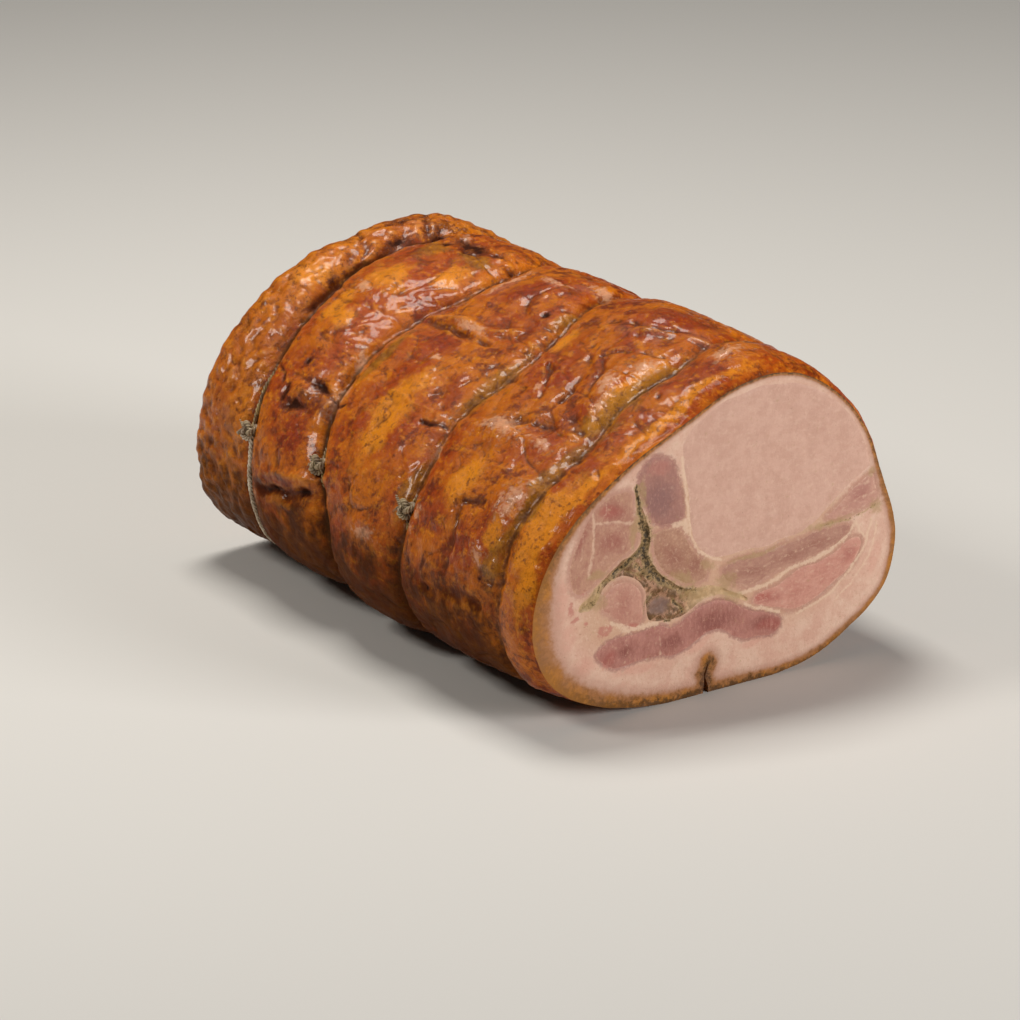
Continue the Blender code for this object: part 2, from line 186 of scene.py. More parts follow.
soft_light("softbox_above", (0.04, 0.3, 0.95), 1.3, 0.55, 0.42, 13.0, WARM_WHITE)
soft_light("softbox_left", (-0.7, 0.27, 0.66), 1.5, 0.3, 0.4, 8.4, WARM_WHITE)
soft_light("fill_front", (0.45, -0.85, 0.3), 2.4, 1.0, 0.8, 47.0, NEAR_WHITE)
world = bpy.data.worlds.new("studio")
world.use_nodes = True
background = world.node_tree.nodes["Background"].inputs
background["Color"].default_value = (1.0, 0.95, 0.88, 1.0)
background["Strength"].default_value = 0.055
bpy.context.scene.world = world
bpy.context.scene.view_settings.view_transform = "Standard"

floor_mesh = bpy.data.meshes.new("studio_floor")
FLOOR_REACH = 6.0
corners = [(x * FLOOR_REACH, y * FLOOR_REACH, 0) for x, y in ((-1, -1), (1, -1), (1, 1), (-1, 1))]
floor_mesh.from_pydata(corners, [], [(0, 1, 2, 3)])
floor = bpy.data.objects.new("studio_floor", floor_mesh)
bpy.context.scene.collection.objects.link(floor)


# %% [markdown]
# ## Helpers for colour and nodes
# Colours are read from real roast pork as sRGB hex values. Blender mixes light in linear values, so one
# function turns them over. A second one adds any shader node with its settings and its links. Food is
# coloured in layers, as a painter would do it: a shade is laid over what is there, where a noise or a mask
# painted on the piece is strong. A few short functions hold that step, which keeps each material readable.

# %% Colour and node helpers
def linear(hex_colour):
    """sRGB hex colour as linear RGBA."""
    channels = [int(hex_colour[k : k + 2], 16) / 255 for k in (1, 3, 5)]
    return tuple(c / 12.92 if c <= 0.04045 else ((c + 0.055) / 1.055) ** 2.4 for c in channels) + (1.0,)


def add_node(tree, kind, settings=None, inputs=None):
    """Adds a shader node. An input is a socket to link from, or a value; it is named, or numbered."""
    node = tree.nodes.new("ShaderNode" + kind)
    for name, value in (settings or {}).items():
        setattr(node, name, value)
    for key, value in (inputs or {}).items():
        if isinstance(value, bpy.types.NodeSocket):
            tree.links.new(value, node.inputs[key])
        else:
            node.inputs[key].default_value = value
    return node


def start_material(name):
    """New material with its node tree and its Principled shader."""
    material = bpy.data.materials.new(name)
    material.use_nodes = True
    return material, material.node_tree, material.node_tree.nodes["Principled BSDF"]


SMOOTH = {"interpolation_type": "SMOOTHSTEP"}
COLOURS = {"data_type": "RGBA"}


def spots(tree, size_mm, detail, roughness, stretch=(1, 1, 1)):
    """Cloudy noise whose blobs are about this many millimetres across."""
    place = add_node(tree, "TexCoord").outputs["Object"]
    scaled = add_node(tree, "Mapping", None, {"Vector": place, "Scale": stretch}).outputs[0]
    inputs = {"Vector": scaled, "Scale": 1 / (size_mm * MM), "Detail": detail, "Roughness": roughness}
    return add_node(tree, "TexNoise", None, inputs).outputs["Fac"]


def lay_shade(tree, colour, mask, low, high, share, shade):
    """Lays a share of a shade over a colour, growing as a mask goes from low to high.

    The mask is a socket, or the name of a mask that is painted on the piece.
    """
    if isinstance(mask, str):
        mask = add_node(tree, "Attribute", {"attribute_name": mask}).outputs["Fac"]
    part = add_node(tree, "MapRange", SMOOTH, {"Value": mask, 1: low, 2: high, 4: share}).outputs[0]
    return add_node(tree, "Mix", COLOURS, {0: part, 6: colour, 7: linear(shade)}).outputs[2]


def torn_mask(tree, name, noise, tear):
    """A mask painted on the piece, with its edge torn by noise."""
    mask = add_node(tree, "Attribute", {"attribute_name": name}).outputs["Fac"]
    shift = {0: noise, 1: tear, 2: -tear / 2}
    torn = add_node(tree, "Math", {"operation": "MULTIPLY_ADD"}, shift).outputs[0]
    return add_node(tree, "Math", {"operation": "ADD"}, {0: mask, 1: torn}).outputs[0]


def tinted(tree, colour, name, noise, tear, low, high, share, shade):
    """Lays a shade over a colour where a painted mask, with its edge torn by noise, is strong."""
    return lay_shade(tree, colour, torn_mask(tree, name, noise, tear), low, high, share, shade)


# %% [markdown]
# ## The skin
# Real pork rind shrinks as it roasts. It pulls tight over the meat between the strings, folds where a
# string bites, and blisters where fat boils under it. A single grid in girth and length holds all of that:
# broad swells, then the grooves of the strings, then named creases and pits, then noise for wrinkles and
# blisters. Sculpting it by hand would look as good, but a list of features can be read and changed.

# %% Noise on the unrolled skin
NOISE_MARGIN = 20
NOISE_REACH = 1.7


def spline_weights(t):
    """Weights of the four grid values round a place, which make the noise smooth."""
    return [
        (1 - t) ** 3 / 6,
        (3 * t**3 - 6 * t**2 + 4) / 6,
        (-3 * t**3 + 3 * t**2 + 3 * t + 1) / 6,
        t**3 / 6,
    ]


def cloudy(girth, along, size, seed, along_size=None):
    """Smooth noise from -1 to 1 that closes round the girth, with blobs of this size in millimetres."""
    along_size = along_size or size
    columns = max(4, round(GIRTH / size))
    rows = int((LENGTH + 3 * NOISE_MARGIN) / along_size) + 6
    grid = np.random.default_rng(seed).uniform(-1, 1, (columns, rows))
    u = np.asarray(girth) / GIRTH * columns
    v = (np.asarray(along) + LENGTH / 2 + NOISE_MARGIN) / along_size + 1
    i, j = np.floor(u).astype(int), np.clip(np.floor(v).astype(int), 1, rows - 3)
    across, up = spline_weights(u - i), spline_weights(v - j)
    total = 0.0
    for p in range(4):
        for q in range(4):
            total = total + grid[(i + p - 1) % columns, j + q - 1] * across[p] * up[q]
    return total * NOISE_REACH


# %% [markdown]
# Four strings run round the roll, none of them quite straight. Between them the skin stands out in broad
# swells, and each string sits in a narrow slot at the bottom of a wider valley. All of this is given at
# evenly spaced places round the girth, which is easier to adjust than a sculpted surface.

# %% Swells and string lines
# Each row starts at the middle of the base and goes once round. This is where each string runs along Y.
TIE_PATHS = (
    (-108, -110, -112, -113, -113.3, -111.5, -112, -105, -104.5, -98, -97, -98, -99, -102, -105, -107),
    (-30, -32, -34, -35, -36, -35, -27, -31, -21.5, -10, -10, -14, -19, -23, -27, -29),
    (28, 24, 22, 23, 26.8, 41.5, 51.3, 51.5, 44.4, 48, 46, 42, 38, 35, 32, 30),
    (90, 88, 87, 87, 88.6, 94, 101.5, 108.5, 109.5, 101, 99, 97, 95, 93, 92, 91),
)  # fmt: skip
# How far the skin stands out at each string. The last row is the rim of the roasted end.
TIE_SWELLS = (
    (0, 1, 2.5, 2.5, 3, 3.5, 2.5, 1),
    (0, 1.5, 1, 1, 1.5, 2.5, 1.5, 1),
    (0, 0, 0.5, 2.5, 1.5, 0, 0, 0),
    (0, 0, 0, 0, 0.5, 4, 7.5, 8.5, 6, 3, 1, 0.5, 0, 0, 0, 0),
    (0, 0, 0, 0.5, 0.5, 7, 14, 16, 10.5, 4, 1, 0, 0, 0, 0, 0),
)  # fmt: skip
# How far it stands out further in the middle of each stretch between the strings.
ZONE_SWELLS = (
    (0, 0.5, 1, 1.5, 3.5, 4, 1.5, 0),
    (0, 1.5, 2.5, 3, 4, 3.5, 2.5, 1.5),
    (0, 4, 3.5, 3.5, 4, 4, 3.5, 2.5),
    (0, 2, 3, 4, 3.5, 3.5, 3, 2),
    (0, 0, 0, 1.5, 2, 2, 1, 0),
)  # fmt: skip
# How deep each string cuts in millimetres.
TIE_DEPTHS = (
    (2.4, 2.4, 2.4, 2.0, 1.7, 1.3, 1.2, 1.3, 1.2, 1.3, 1.8, 2.0, 2.2, 2.4, 2.4, 2.4),
    (3.0, 3.0, 3.2, 3.2, 3.0, 2.2, 1.5, 1.3, 1.5, 1.8, 2.4, 2.8, 2.8, 3.0, 3.0, 3.0),
    (3.0, 3.2, 3.4, 3.4, 3.4, 3.0, 1.7, 1.3, 1.7, 2.2, 2.6, 3.0, 3.0, 3.0, 3.0, 3.0),
    (3.2, 3.2, 3.2, 3.2, 3.0, 2.6, 2.6, 3.2, 3.4, 3.4, 3.2, 3.2, 3.2, 3.2, 3.2, 3.2),
)  # fmt: skip
# How much of each string shows, from 0 for a string that the rind has closed over.
TIE_SHOWS = (
    (0.5, 0.5, 0.3, 0, 0, 0, 0, 0, 0, 0, 0.3, 0.5, 0.5, 0.5, 0.5, 0.5),
    (0.6, 0.6, 0.4, 0, 0, 0, 0, 0, 0, 0, 0.4, 0.6, 0.6, 0.6, 0.6, 0.6),
    (0.6, 0.6, 0.4, 0, 0, 0, 0, 0, 0, 0, 0.4, 0.6, 0.6, 0.6, 0.6, 0.6),
    (0.8, 0.8, 0.9, 1, 1, 0.75, 0, 0, 0, 0, 0.3, 0.6, 0.7, 0.8, 0.8, 0.8),
)  # fmt: skip
# How burnt the bottom of each groove is.
TIE_BURNS = (
    (0.5, 0.5, 0.5, 0.5, 0.5, 0.5, 0.5, 0.5, 0.5, 0.5, 0.5, 0.5, 0.5, 0.5, 0.5, 0.5),
    (0.5, 0.5, 0.5, 0.5, 0.5, 0.5, 0.45, 0.4, 0.45, 0.5, 0.5, 0.5, 0.5, 0.5, 0.5, 0.5),
    (0.5, 0.5, 0.5, 0.7, 0.9, 0.85, 0.6, 0.5, 0.5, 0.5, 0.5, 0.5, 0.5, 0.5, 0.5, 0.5),
    (0.5, 0.5, 0.5, 0.45, 0.4, 0.45, 0.8, 0.95, 1, 0.9, 0.7, 0.6, 0.5, 0.5, 0.5, 0.5),
)  # fmt: skip


def tie_line(number, girth):
    """Where a string runs, with the small wander that the folds give it."""
    wander = cloudy(girth, np.full_like(girth, 30.0 * number - 50), 13, 7)
    return round_girth(TIE_PATHS[number], girth) + 0.8 * wander


def smooth_step(value, low, high):
    """Smooth rise from 0 to 1 between two limits."""
    t = np.clip((value - low) / (high - low), 0, 1)
    return t * t * (3 - 2 * t)


LAST_TIE = 3
STRING_GAP = 2.0


def broad_swell(girth, along):
    """How far the skin stands out between the strings, before any folds."""
    lines = [CUT_Y + 0 * girth] + [tie_line(k, girth) for k in range(4)] + [RIM_START + 0 * girth]
    swells = [0 * girth] + [round_girth(values, girth) for values in TIE_SWELLS]
    total = 0 * girth
    for zone in range(5):
        start = lines[zone] + (0 if zone == 0 else STRING_GAP)
        end = lines[zone + 1] - (0 if zone == 4 else STRING_GAP)
        t = np.clip((along - start) / (end - start), 0, 1)
        inside = (along > lines[zone]) & (along <= lines[zone + 1])
        arch = np.sin(math.pi * t) ** 0.6
        swell = swells[zone] * (1 - t) + swells[zone + 1] * t + round_girth(ZONE_SWELLS[zone], girth) * arch
        total = np.where(inside, swell, total)
    return total


CLOSED_SLOT, OPEN_SLOT = 2.1, 1.4
VALLEY_WIDTH = 4.5


def groove_lift(girth, along):
    """How far the skin is pulled in by the strings: a narrow slot in a wider valley."""
    total = np.zeros_like(girth)
    for number in range(4):
        away = along - tie_line(number, girth)
        depth = round_girth(TIE_DEPTHS[number], girth)
        shown = np.clip(round_girth(TIE_SHOWS[number], girth), 0, 1)
        width = CLOSED_SLOT + (OPEN_SLOT - CLOSED_SLOT) * shown
        slot = (0.4 + 0.15 * shown) * (1 + 0.35 * cloudy(girth, along, 9, 8))
        valley = 0.45 * np.exp(-((away / VALLEY_WIDTH) ** 2))
        total += depth * (slot * np.exp(-((away / width) ** 2)) + valley)
    return total


# %% [markdown]
# A crease is a short line on the unrolled skin with a width and a depth, and a patch is an ellipse. Both
# return a soft mask. The same masks move the skin in or out and tint it, so a burnt pit is dark exactly
# where it is deep. Most places in the lists were read by eye on a plainer skin. A separate script then
# worked out where they lie on this one, and some were moved again by hand.

# %% Lines and patches as masks
def near_line(first, second, line, width):
    """Mask that is 1 on a line through some points and fades to 0 over the width."""
    best = np.full(np.shape(first), 1e9)
    line = np.array(line, float)
    for start, end in zip(line[:-1], line[1:]):
        run = end - start
        t = ((first - start[0]) * run[0] + (second - start[1]) * run[1]) / max(run @ run, 1e-9)
        t = np.clip(t, 0, 1)
        away = (first - start[0] - run[0] * t) ** 2 + (second - start[1] - run[1] * t) ** 2
        best = np.minimum(best, away)
    return np.exp(-best / width**2)


def in_patch(first, second, patch):
    """Mask of an ellipse: middle, half sizes, and its turn in degrees."""
    middle_a, middle_b, half_a, half_b, turn = patch
    cos, sin = math.cos(math.radians(turn)), math.sin(math.radians(turn))
    a = (first - middle_a) * cos + (second - middle_b) * sin
    b = (second - middle_b) * cos - (first - middle_a) * sin
    return np.exp(-((a / half_a) ** 2) - (b / half_b) ** 2)


# Creases and ridges: points, half width, height in millimetres, and how burnt they are. In the deep folds
# that darkness is partly painted shade.
CREASES = (
    (((182, 51), (181, 45), (182, 39)), 0.9, -1.0, 0.8),
    # A deep fold on the left. Its dark mouth is partly char and partly painted shade.
    (((132, 76), (135, 65), (136, 53), (138, 43), (141, 34)), 2.5, -3.2, 0.75),
    (((140, 74), (144, 62), (144, 50), (146, 38), (149, 27)), 3.4, 1.8, 0.0),
    (((128, 68), (131, 53), (133, 40), (138, 26)), 2.2, 1.0, 0.0),
    (((189, 99), (183, 87), (180, 83)), 1.2, -0.8, 0.6),
    (((191, -13), (192, -19), (195, -26)), 1.5, -2.0, 0.9),
    (((127, -61), (129, -75), (131, -90), (132, -103)), 3.6, -2.0, 0.4),
    (((165, -69), (168, -77), (171, -84)), 1.8, -1.4, 0.5),
    (((140, -76), (152, -75), (165, -72)), 3.2, -1.3, 0.2),
    (((212, -62), (216, -80), (219, -93), (219, -103)), 5.0, -2.4, 0.2),
    # The dark line at the bottom of this valley is painted shade.
    (((213, -72), (217, -86), (219, -99)), 1.6, -1.0, 0.7),
    (((227, -59), (233, -55), (240, -50), (246, -43)), 2.2, -1.5, 0.3),
    (((231, -72), (243, -69), (255, -61), (262, -54)), 3.4, -1.6, 0.25),
    (((237, -84), (249, -77), (256, -69)), 3.2, -1.5, 0.2),
    (((260, -65), (266, -73), (270, -85), (275, -98)), 1.6, -0.9, 0.2),
    (((275, -47), (278, -62), (283, -76), (290, -90), (294, -109)), 3.2, 1.8, 0.0),
    (((280, -45), (283, -63), (290, -78), (298, -92)), 2.4, -1.2, 0.3),
    (((239, -22), (242, -25), (243, -29)), 0.9, 0.7, 0.0),
    (((243, -17), (245, -24), (245, -28)), 0.9, 0.7, 0.0),
    (((240, 44), (240, 26), (240, 12), (241, 0)), 2.4, -2.0, 0.3),
    (((243, 48), (246, 28), (248, 16), (249, 6), (254, -4)), 3.2, 1.9, 0.0),
    (((286, 82), (285, 75), (289, 67), (292, 61)), 2.2, -1.8, 0.8),
    (((288, 51), (291, 44), (294, 42)), 2.0, -1.5, 0.7),
    (((290, 31), (289, 15), (289, 2)), 1.3, 0.9, 0.0),
    (((198, 40), (197, 18), (197, -1), (198, -25)), 0.8, 0.45, 0.0),
    (((188, -49), (187, -76), (187, -110)), 0.8, 0.45, 0.0),
    (((296, 100), (287, 84), (281, 77)), 1.8, 0.9, 0.0),
    (((299, 78), (294, 69), (290, 58)), 1.6, 0.8, 0.0),
    (((205, -5), (213, -12), (222, -15)), 2.2, -0.9, 0.25),
    (((150, 10), (160, 3), (172, 5)), 2.6, -0.7, 0.1),
    (((249, 112), (257, 117), (271, 147)), 2.0, -1.0, 0.4),
    (((283, 110), (288, 115), (305, 147)), 2.2, -1.2, 0.6),
    (((212, 67), (225, 63), (239, 62)), 2.6, -0.8, 0.15),
    (((243, 70), (254, 66), (266, 68)), 2.2, -0.9, 0.2),
)

# Pits and lumps: an ellipse, its height in millimetres, and how burnt it is.
BUMPS = (
    ((178, 59, 8, 16, 0), -1.2, 0.42),
    ((172, 68, 3.0, 8, 8), -1.8, 1.0),
    ((184, 60, 3.2, 9, -10), -1.8, 1.0),
    ((176, 77, 5, 2.4, 0), -1.0, 0.95),
    ((178, 66, 2.4, 6, 0), 1.6, 0.0),
    ((192, 76, 2.4, 2.0, 0), -0.9, 1.0),
    ((231, 107, 3.0, 4.0, 0), -1.6, 0.9),
    ((285, 105, 8.0, 4.2, 20), -2.2, 1.0),
    ((270, 113, 9.0, 3.0, 0), -1.2, 0.85),
    ((291, 112, 7.0, 5.0, 20), -1.0, 0.65),
    ((250, 118, 6.0, 3.0, 30), -0.8, 0.5),
    ((232, 112, 5.0, 2.4, 0), -0.8, 0.65),
    ((290, 80, 5.0, 15.0, 0), -1.4, 0.95),
    ((284, 92, 3.0, 4.0, 0), -1.2, 0.9),
    ((218, 108, 8.0, 2.0, 10), -0.6, 0.7),
    ((270, -8, 2.0, 3.0, 0), -1.4, 0.9),
    ((252, -117, 2.2, 1.6, 0), -0.7, 0.7),
    ((127, -64, 1.8, 2.0, 0), -0.9, 0.9),
    ((143, -102, 1.2, 1.4, 0), -0.4, 0.9),
    ((135, -47, 1.2, 1.2, 0), -0.4, 0.9),
    ((151, 35, 3.6, 3.0, 0), -1.0, 0.6),
    ((223, -88, 4.2, 6.4, 0), -1.4, 0.4),
    ((246, 84, 13, 14, 0), 2.4, 0.0),
    ((282, 126, 10, 5, 0), -0.6, 0.6),
    ((202, -59, 7, 17, 8), 3.0, 0.0),
    ((209, -65, 2.0, 2.6, 0), -0.9, 0.3),
    ((205, -87, 4, 9, 0), 1.0, 0.0),
    ((178, -98, 13, 12, 0), 2.0, 0.0),
    ((152, -96, 5, 9, -20), 1.0, 0.0),
    ((245, -88, 14, 10, 25), 2.6, 0.0),
    ((263, -95, 6, 7, 0), 0.9, 0.0),
    ((251, -23, 3.4, 5.0, 0), 1.1, 0.0),
    ((137, -16, 5, 11, 0), 1.2, 0.0),
    ((182, 48, 10, 7, 0), 1.8, 0.0),
    ((205, 54, 8, 5, 10), 0.9, 0.0),
    ((150, 0, 18, 18, 0), 0.9, 0.0),
    ((223, 69, 20, 16, 0), 1.6, 0.0),
    ((215, 6, 16, 14, 0), 0.8, 0.0),
    ((277, 17, 12, 12, 0), 0.9, 0.0),
    ((294, -66, 9, 18, 0), 1.2, 0.0),
    ((160, 117, 10, 8, 0), 0.7, 0.0),
    ((211, 113, 14, 8, 20), 0.9, 0.0),
)
# Films of fat that boiled to the surface and dried into glossy wrinkles. Their pale pink colour is partly a
# painted highlight.
PALE_FILMS_AND_SHEEN = (
    (203, -59, 7.0, 18, 8), (205, -87, 3.5, 8, 0), (176, -100, 10, 9, 0), (152, -96, 4, 8, -20),
    (247, -90, 10, 7, 25), (264, -95, 5, 6, 0), (251, -23, 3, 4.5, 0), (137, -14, 4.5, 9, 0),
    (182, 48, 9, 5.5, 0), (204, 54, 7, 4, 10), (185, -31, 9, 2.4, 12), (147, -40, 3, 7, 0),
    (156, -45, 5, 3, 0), (236, -94, 6, 4, 0), (232, -51, 5, 3, 30),
    (245, 18, 3, 17, -4), (290, -115, 9, 5, 10), (238, 87, 4, 7, 0), (280, 36, 16, 2.6, 0),
    (289, 13, 1.8, 14, 0), (301, -4, 6, 10, 0), (293, 89, 3, 10, -25), (223, 15, 2.4, 6, 15),
    (125, 80, 5, 3, 0),
)  # fmt: skip
print(len(CREASES), "creases and", len(BUMPS), "pits and lumps lie on the side that shows")

# %% [markdown]
# The side away from the camera is finished by chance, with creases and lumps of the same sizes. A fixed
# seed gives the same skin each time. After the folds comes noise of several sizes: lumps a few centimetres
# wide, wrinkles, fine bumps, and blisters that stand highest behind the last string.

# %% Creases and lumps of the hidden side
HIDDEN_START, HIDDEN_END = 318, 520
chance = np.random.default_rng(11)
hidden_creases, hidden_bumps = [], []
for _ in range(26):
    girth, along = chance.uniform(HIDDEN_START, HIDDEN_END), chance.uniform(CUT_Y + 10, RIM_START - 6)
    lean = chance.uniform(-0.5, 0.5)
    reach = chance.uniform(7, 20)
    line = [(girth + reach * t * lean + chance.normal(0, 1.2), along + reach * t) for t in (-1, -0.3, 0.4, 1)]
    hidden_creases.append((line, chance.uniform(1.2, 2.6), chance.uniform(-1.9, 0.9), chance.uniform(0, 0.7)))
for _ in range(30):
    girth, along = chance.uniform(HIDDEN_START - 3, HIDDEN_END + 5), chance.uniform(CUT_Y + 8, RIM_START)
    patch = (girth, along, *chance.uniform(3, 14, 2), 0)
    hidden_bumps.append((patch, chance.uniform(-1.2, 1.4), float(chance.uniform() < 0.2) * 0.7))


# Wrinkles: size and depth in millimetres, and the seed of their noise.
WRINKLES = ((22, 1.0, 41), (11, 0.8, 42), (5.5, 0.55, 43), (3.2, 0.35, 44))


def skin_relief(girth, along):
    """Height of the folds and blisters, and how burnt the skin is there, with painted shade in the deep
    creases.
    """
    height, burnt = np.zeros_like(girth), np.zeros_like(girth)
    wobble_g = girth + 1.2 * cloudy(girth, along, 7, 21) + 0.7 * cloudy(girth, along, 3, 23)
    wobble_y = along + 1.2 * cloudy(girth, along, 7, 22) + 0.7 * cloudy(girth, along, 3, 24)
    torn = 0.75 + 0.5 * cloudy(girth, along, 4.5, 25)
    for line, width, rise, char_and_shade in list(CREASES) + hidden_creases:
        mask = near_line(wobble_g, wobble_y, line, width * 0.8)
        height += rise * mask * torn
        burnt = np.maximum(burnt, char_and_shade * (0.65 * mask * torn + 0.35 * mask**0.22))
    for patch, rise, char_and_shade in list(BUMPS) + hidden_bumps:
        mask = in_patch(wobble_g, wobble_y, patch)
        height += rise * mask
        burnt = np.maximum(burnt, char_and_shade * mask)
    far_band = smooth_step(along - tie_line(LAST_TIE, girth), 0, 8)
    height += 1.2 * cloudy(girth, along, 34, 1) + 0.9 * cloudy(girth, along, 16, 2)
    height += 0.5 * cloudy(girth, along, 8, 3, 11) * (1 - 0.5 * far_band)
    for size, depth, seed in WRINKLES:
        fold = 1 - np.abs(cloudy(girth, along, size, seed, size * 1.6)) * 4.5
        calm = 1 - 0.55 * far_band if size > 5 else 1
        patchy = 0.5 + 0.6 * cloudy(girth, along, size * 2, seed + 5)
        height -= depth * np.clip(fold, 0, 1) ** 2 * patchy * calm
    film = np.zeros_like(girth)
    for patch in PALE_FILMS_AND_SHEEN:
        film = np.maximum(film, in_patch(wobble_g, wobble_y, patch))
    height += 0.75 * film * (1 - np.clip(np.abs(cloudy(girth, along, 2.8, 47, 3.6)) * 4.5, 0, 1))
    height += 0.3 * cloudy(girth, along, 3.3, 4) + 0.17 * cloudy(girth, along, 1.9, 5)
    blister = np.clip(cloudy(girth, along, 4.2, 6) - 0.25, 0, 1)
    height += (0.3 + 0.5 * far_band) * blister + 0.62 * far_band * cloudy(girth, along, 2.3, 9)
    return height, burnt


# %% [markdown]
# The base is flattened by the weight of the roll, and along it runs the seam where the two edges of the
# belly meet. On the cut the seam shows as a short dark slit. Columns of the grid stand closer together
# there, so the slit stays sharp, and wider apart on the side that is hidden.

# %% The seam and the grid
SEAM_GIRTH = 11.4
SEAM_DEPTH = 13.0
SEAM_HALF = 1.1


def from_seam(girth):
    """Distance from the seam round the girth, negative on its right."""
    return (girth - SEAM_GIRTH + GIRTH / 2) % GIRTH - GIRTH / 2


def seam_lift(girth, along):
    """How far the seam pulls the skin in."""
    away = from_seam(girth)
    wander = away + 1.2 * cloudy(0 * girth, along, 9, 48) * smooth_step(along, CUT_Y, CUT_Y + 25)
    depth = SEAM_DEPTH * (1 + 0.15 * cloudy(0 * girth, along, 12, 49))
    return depth * np.clip(1.2 - np.abs(wander / SEAM_HALF) ** 1.4, 0, 1)


def spaced(start, end, gap):
    """Even steps from start up to the end, which is left out."""
    count = max(1, round((end - start) / gap))
    return start + (end - start) * np.arange(count) / count


GRID_STRETCHES = (
    (0, 8.5, 1.2), (8.5, 14.5, 0.3), (14.5, 90, 1.3), (90, HIDDEN_START, 0.72), (HIDDEN_START, GIRTH, 1.5),
)  # fmt: skip
columns = np.concatenate([spaced(*stretch) for stretch in GRID_STRETCHES])
flat_rows = spaced(CUT_Y, RIM_START, 0.75)
rim_angles = np.linspace(0, math.pi / 2, 20)
print(len(columns), "columns and", len(flat_rows) + len(rim_angles), "rows of skin")


REST_HEIGHT = 0.35


def skin_point(girth, along, angle):
    """Point of the skin in millimetres. The angle goes from 0 on the side to 90 degrees on the far rim."""
    point, normal = edge_at(girth)
    relief, burnt = skin_relief(girth, along)
    near_cut = smooth_step(along, CUT_Y - 0.1, CUT_Y + 3.0)
    near_rim = 1 - smooth_step(np.asarray(angle), 0.9, math.pi / 2)
    relief = relief * (0.25 + 0.75 * near_cut) * near_rim
    out = broad_swell(girth, along) + relief - groove_lift(girth, along)
    out = out - RIM_RADIUS * (1 - np.cos(angle))
    place = point + normal * out[..., None]
    floor_line = REST_HEIGHT * (1 - normal[..., 1] ** 2)
    place[..., 1] = np.where(place[..., 1] < floor_line, floor_line, place[..., 1])
    lift = seam_lift(girth, along) * near_rim
    place = place - normal * lift[..., None]
    crooked = 0.9 * np.sin(0.55 * lift + 0.6) + 0.4 * np.sin(1.5 * lift)
    place[..., 0] += crooked * smooth_step(lift, 0, 3)
    y = along + RIM_RADIUS * np.sin(angle)
    return np.stack([place[..., 0], y + 0 * girth, place[..., 1]], -1), relief, burnt


def skin_grid():
    """The whole skin as rows of points, with its relief and its mask of char and painted crease shade."""
    along = np.concatenate([flat_rows, np.full(len(rim_angles), RIM_START)])
    angle = np.concatenate([np.zeros(len(flat_rows)), rim_angles])
    girth, line = np.meshgrid(columns, along)
    turn = np.broadcast_to(angle[:, None], girth.shape)
    points, relief, burnt = skin_point(girth, line, turn)
    return girth, line + RIM_RADIUS * np.sin(turn), points, relief, burnt


skin_girth, skin_along, skin_points, skin_height, skin_burnt_and_crease_shade = skin_grid()
every_point = skin_points.reshape(-1, 3)
print("skin spans", every_point.min(0).round(1), "to", every_point.max(0).round(1))


# %% [markdown]
# Juice and fat gather in the broad hollows and turn them olive brown, and painted shade darkens them too.
# The fine creases get painted shade, and the tops of the fine folds a painted highlight. Blurring the relief
# and subtracting it tells hollows from ridges, which a shader can then use.

# %% Hollows of the skin
def blur_grid(values, passes):
    """Average with the neighbours on the grid, closed round the girth."""
    for _ in range(passes):
        values = (np.roll(values, 1, 1) + 2 * values + np.roll(values, -1, 1)) / 4
        padded = np.pad(values, ((1, 1), (0, 0)), mode="edge")
        values = (padded[:-2] + 2 * padded[1:-1] + padded[2:]) / 4
    return values


skin_total = skin_height - groove_lift(skin_girth, np.minimum(skin_along, RIM_START))
fine_hollow = np.clip((blur_grid(skin_total, 8) - skin_total) / 0.5, -1, 1)
wide_hollow = np.clip((blur_grid(skin_total, 120) - skin_total) / 1.6, -1, 1)
print("deepest hollow of the skin:", round(float(skin_total.min()), 1), "mm")

# %% [markdown]
# Colour follows the same unrolled map. Fat that boiled to the surface leaves pale glossy films, whose pale
# colour is partly a painted highlight. The skin over the loin caramelised to orange, and one golden patch
# near the cut is painted light on skin that faces down. The parts nearest the heat turned red brown, and
# lilac streaks on some ridges are a painted sheen. Fat and herbs that seeped out along the strings dried to
# olive, and the lower sides are darkened with painted shade.

# %% Tints of the skin
# Golden caramel. The patch at girth 163, near the cut, is painted light on skin that faces down.
GOLDEN_AND_PAINTED_LIGHT = (
    (246, 84, 13, 14, 0), (215, 104, 10, 5, 0), (180, -129, 60, 5, 0), (250, -131, 50, 4, 0),
    (172, -123, 32, 8, 0), (148, -129, 22, 6, 0), (190, 9, 30, 14, 0), (221, 90, 12, 7, 0),
    (241, -101, 40, 6, 0), (267, 60, 12, 10, 0), (175, -66, 18, 10, 0), (262, -36, 10, 6, 0),
    (163, -102, 9, 8, 0), (231, 121, 10, 6, 0), (216, 80, 8, 7, 0),
)  # fmt: skip
REDDENED = (
    (276, 18, 12, 12, 0), (295, -67, 12, 24, 0), (239, -60, 10, 8, 20), (268, -10, 14, 9, 0),
    (249, -73, 14, 6, 30), (160, 58, 14, 12, 0), (251, 52, 14, 10, 0), (150, 117, 40, 12, 0),
    (202, 109, 26, 7, 0), (271, 116, 18, 12, 0), (251, 115, 12, 8, 0), (277, -125, 7, 8, 0),
    (212, -12, 14, 10, 0), (148, -79, 12, 8, 0), (231, 20, 8, 12, 0), (249, 63, 10, 6, 0),
    (117, -92, 8, 10, 0), (140, 60, 6, 16, 0),
)  # fmt: skip
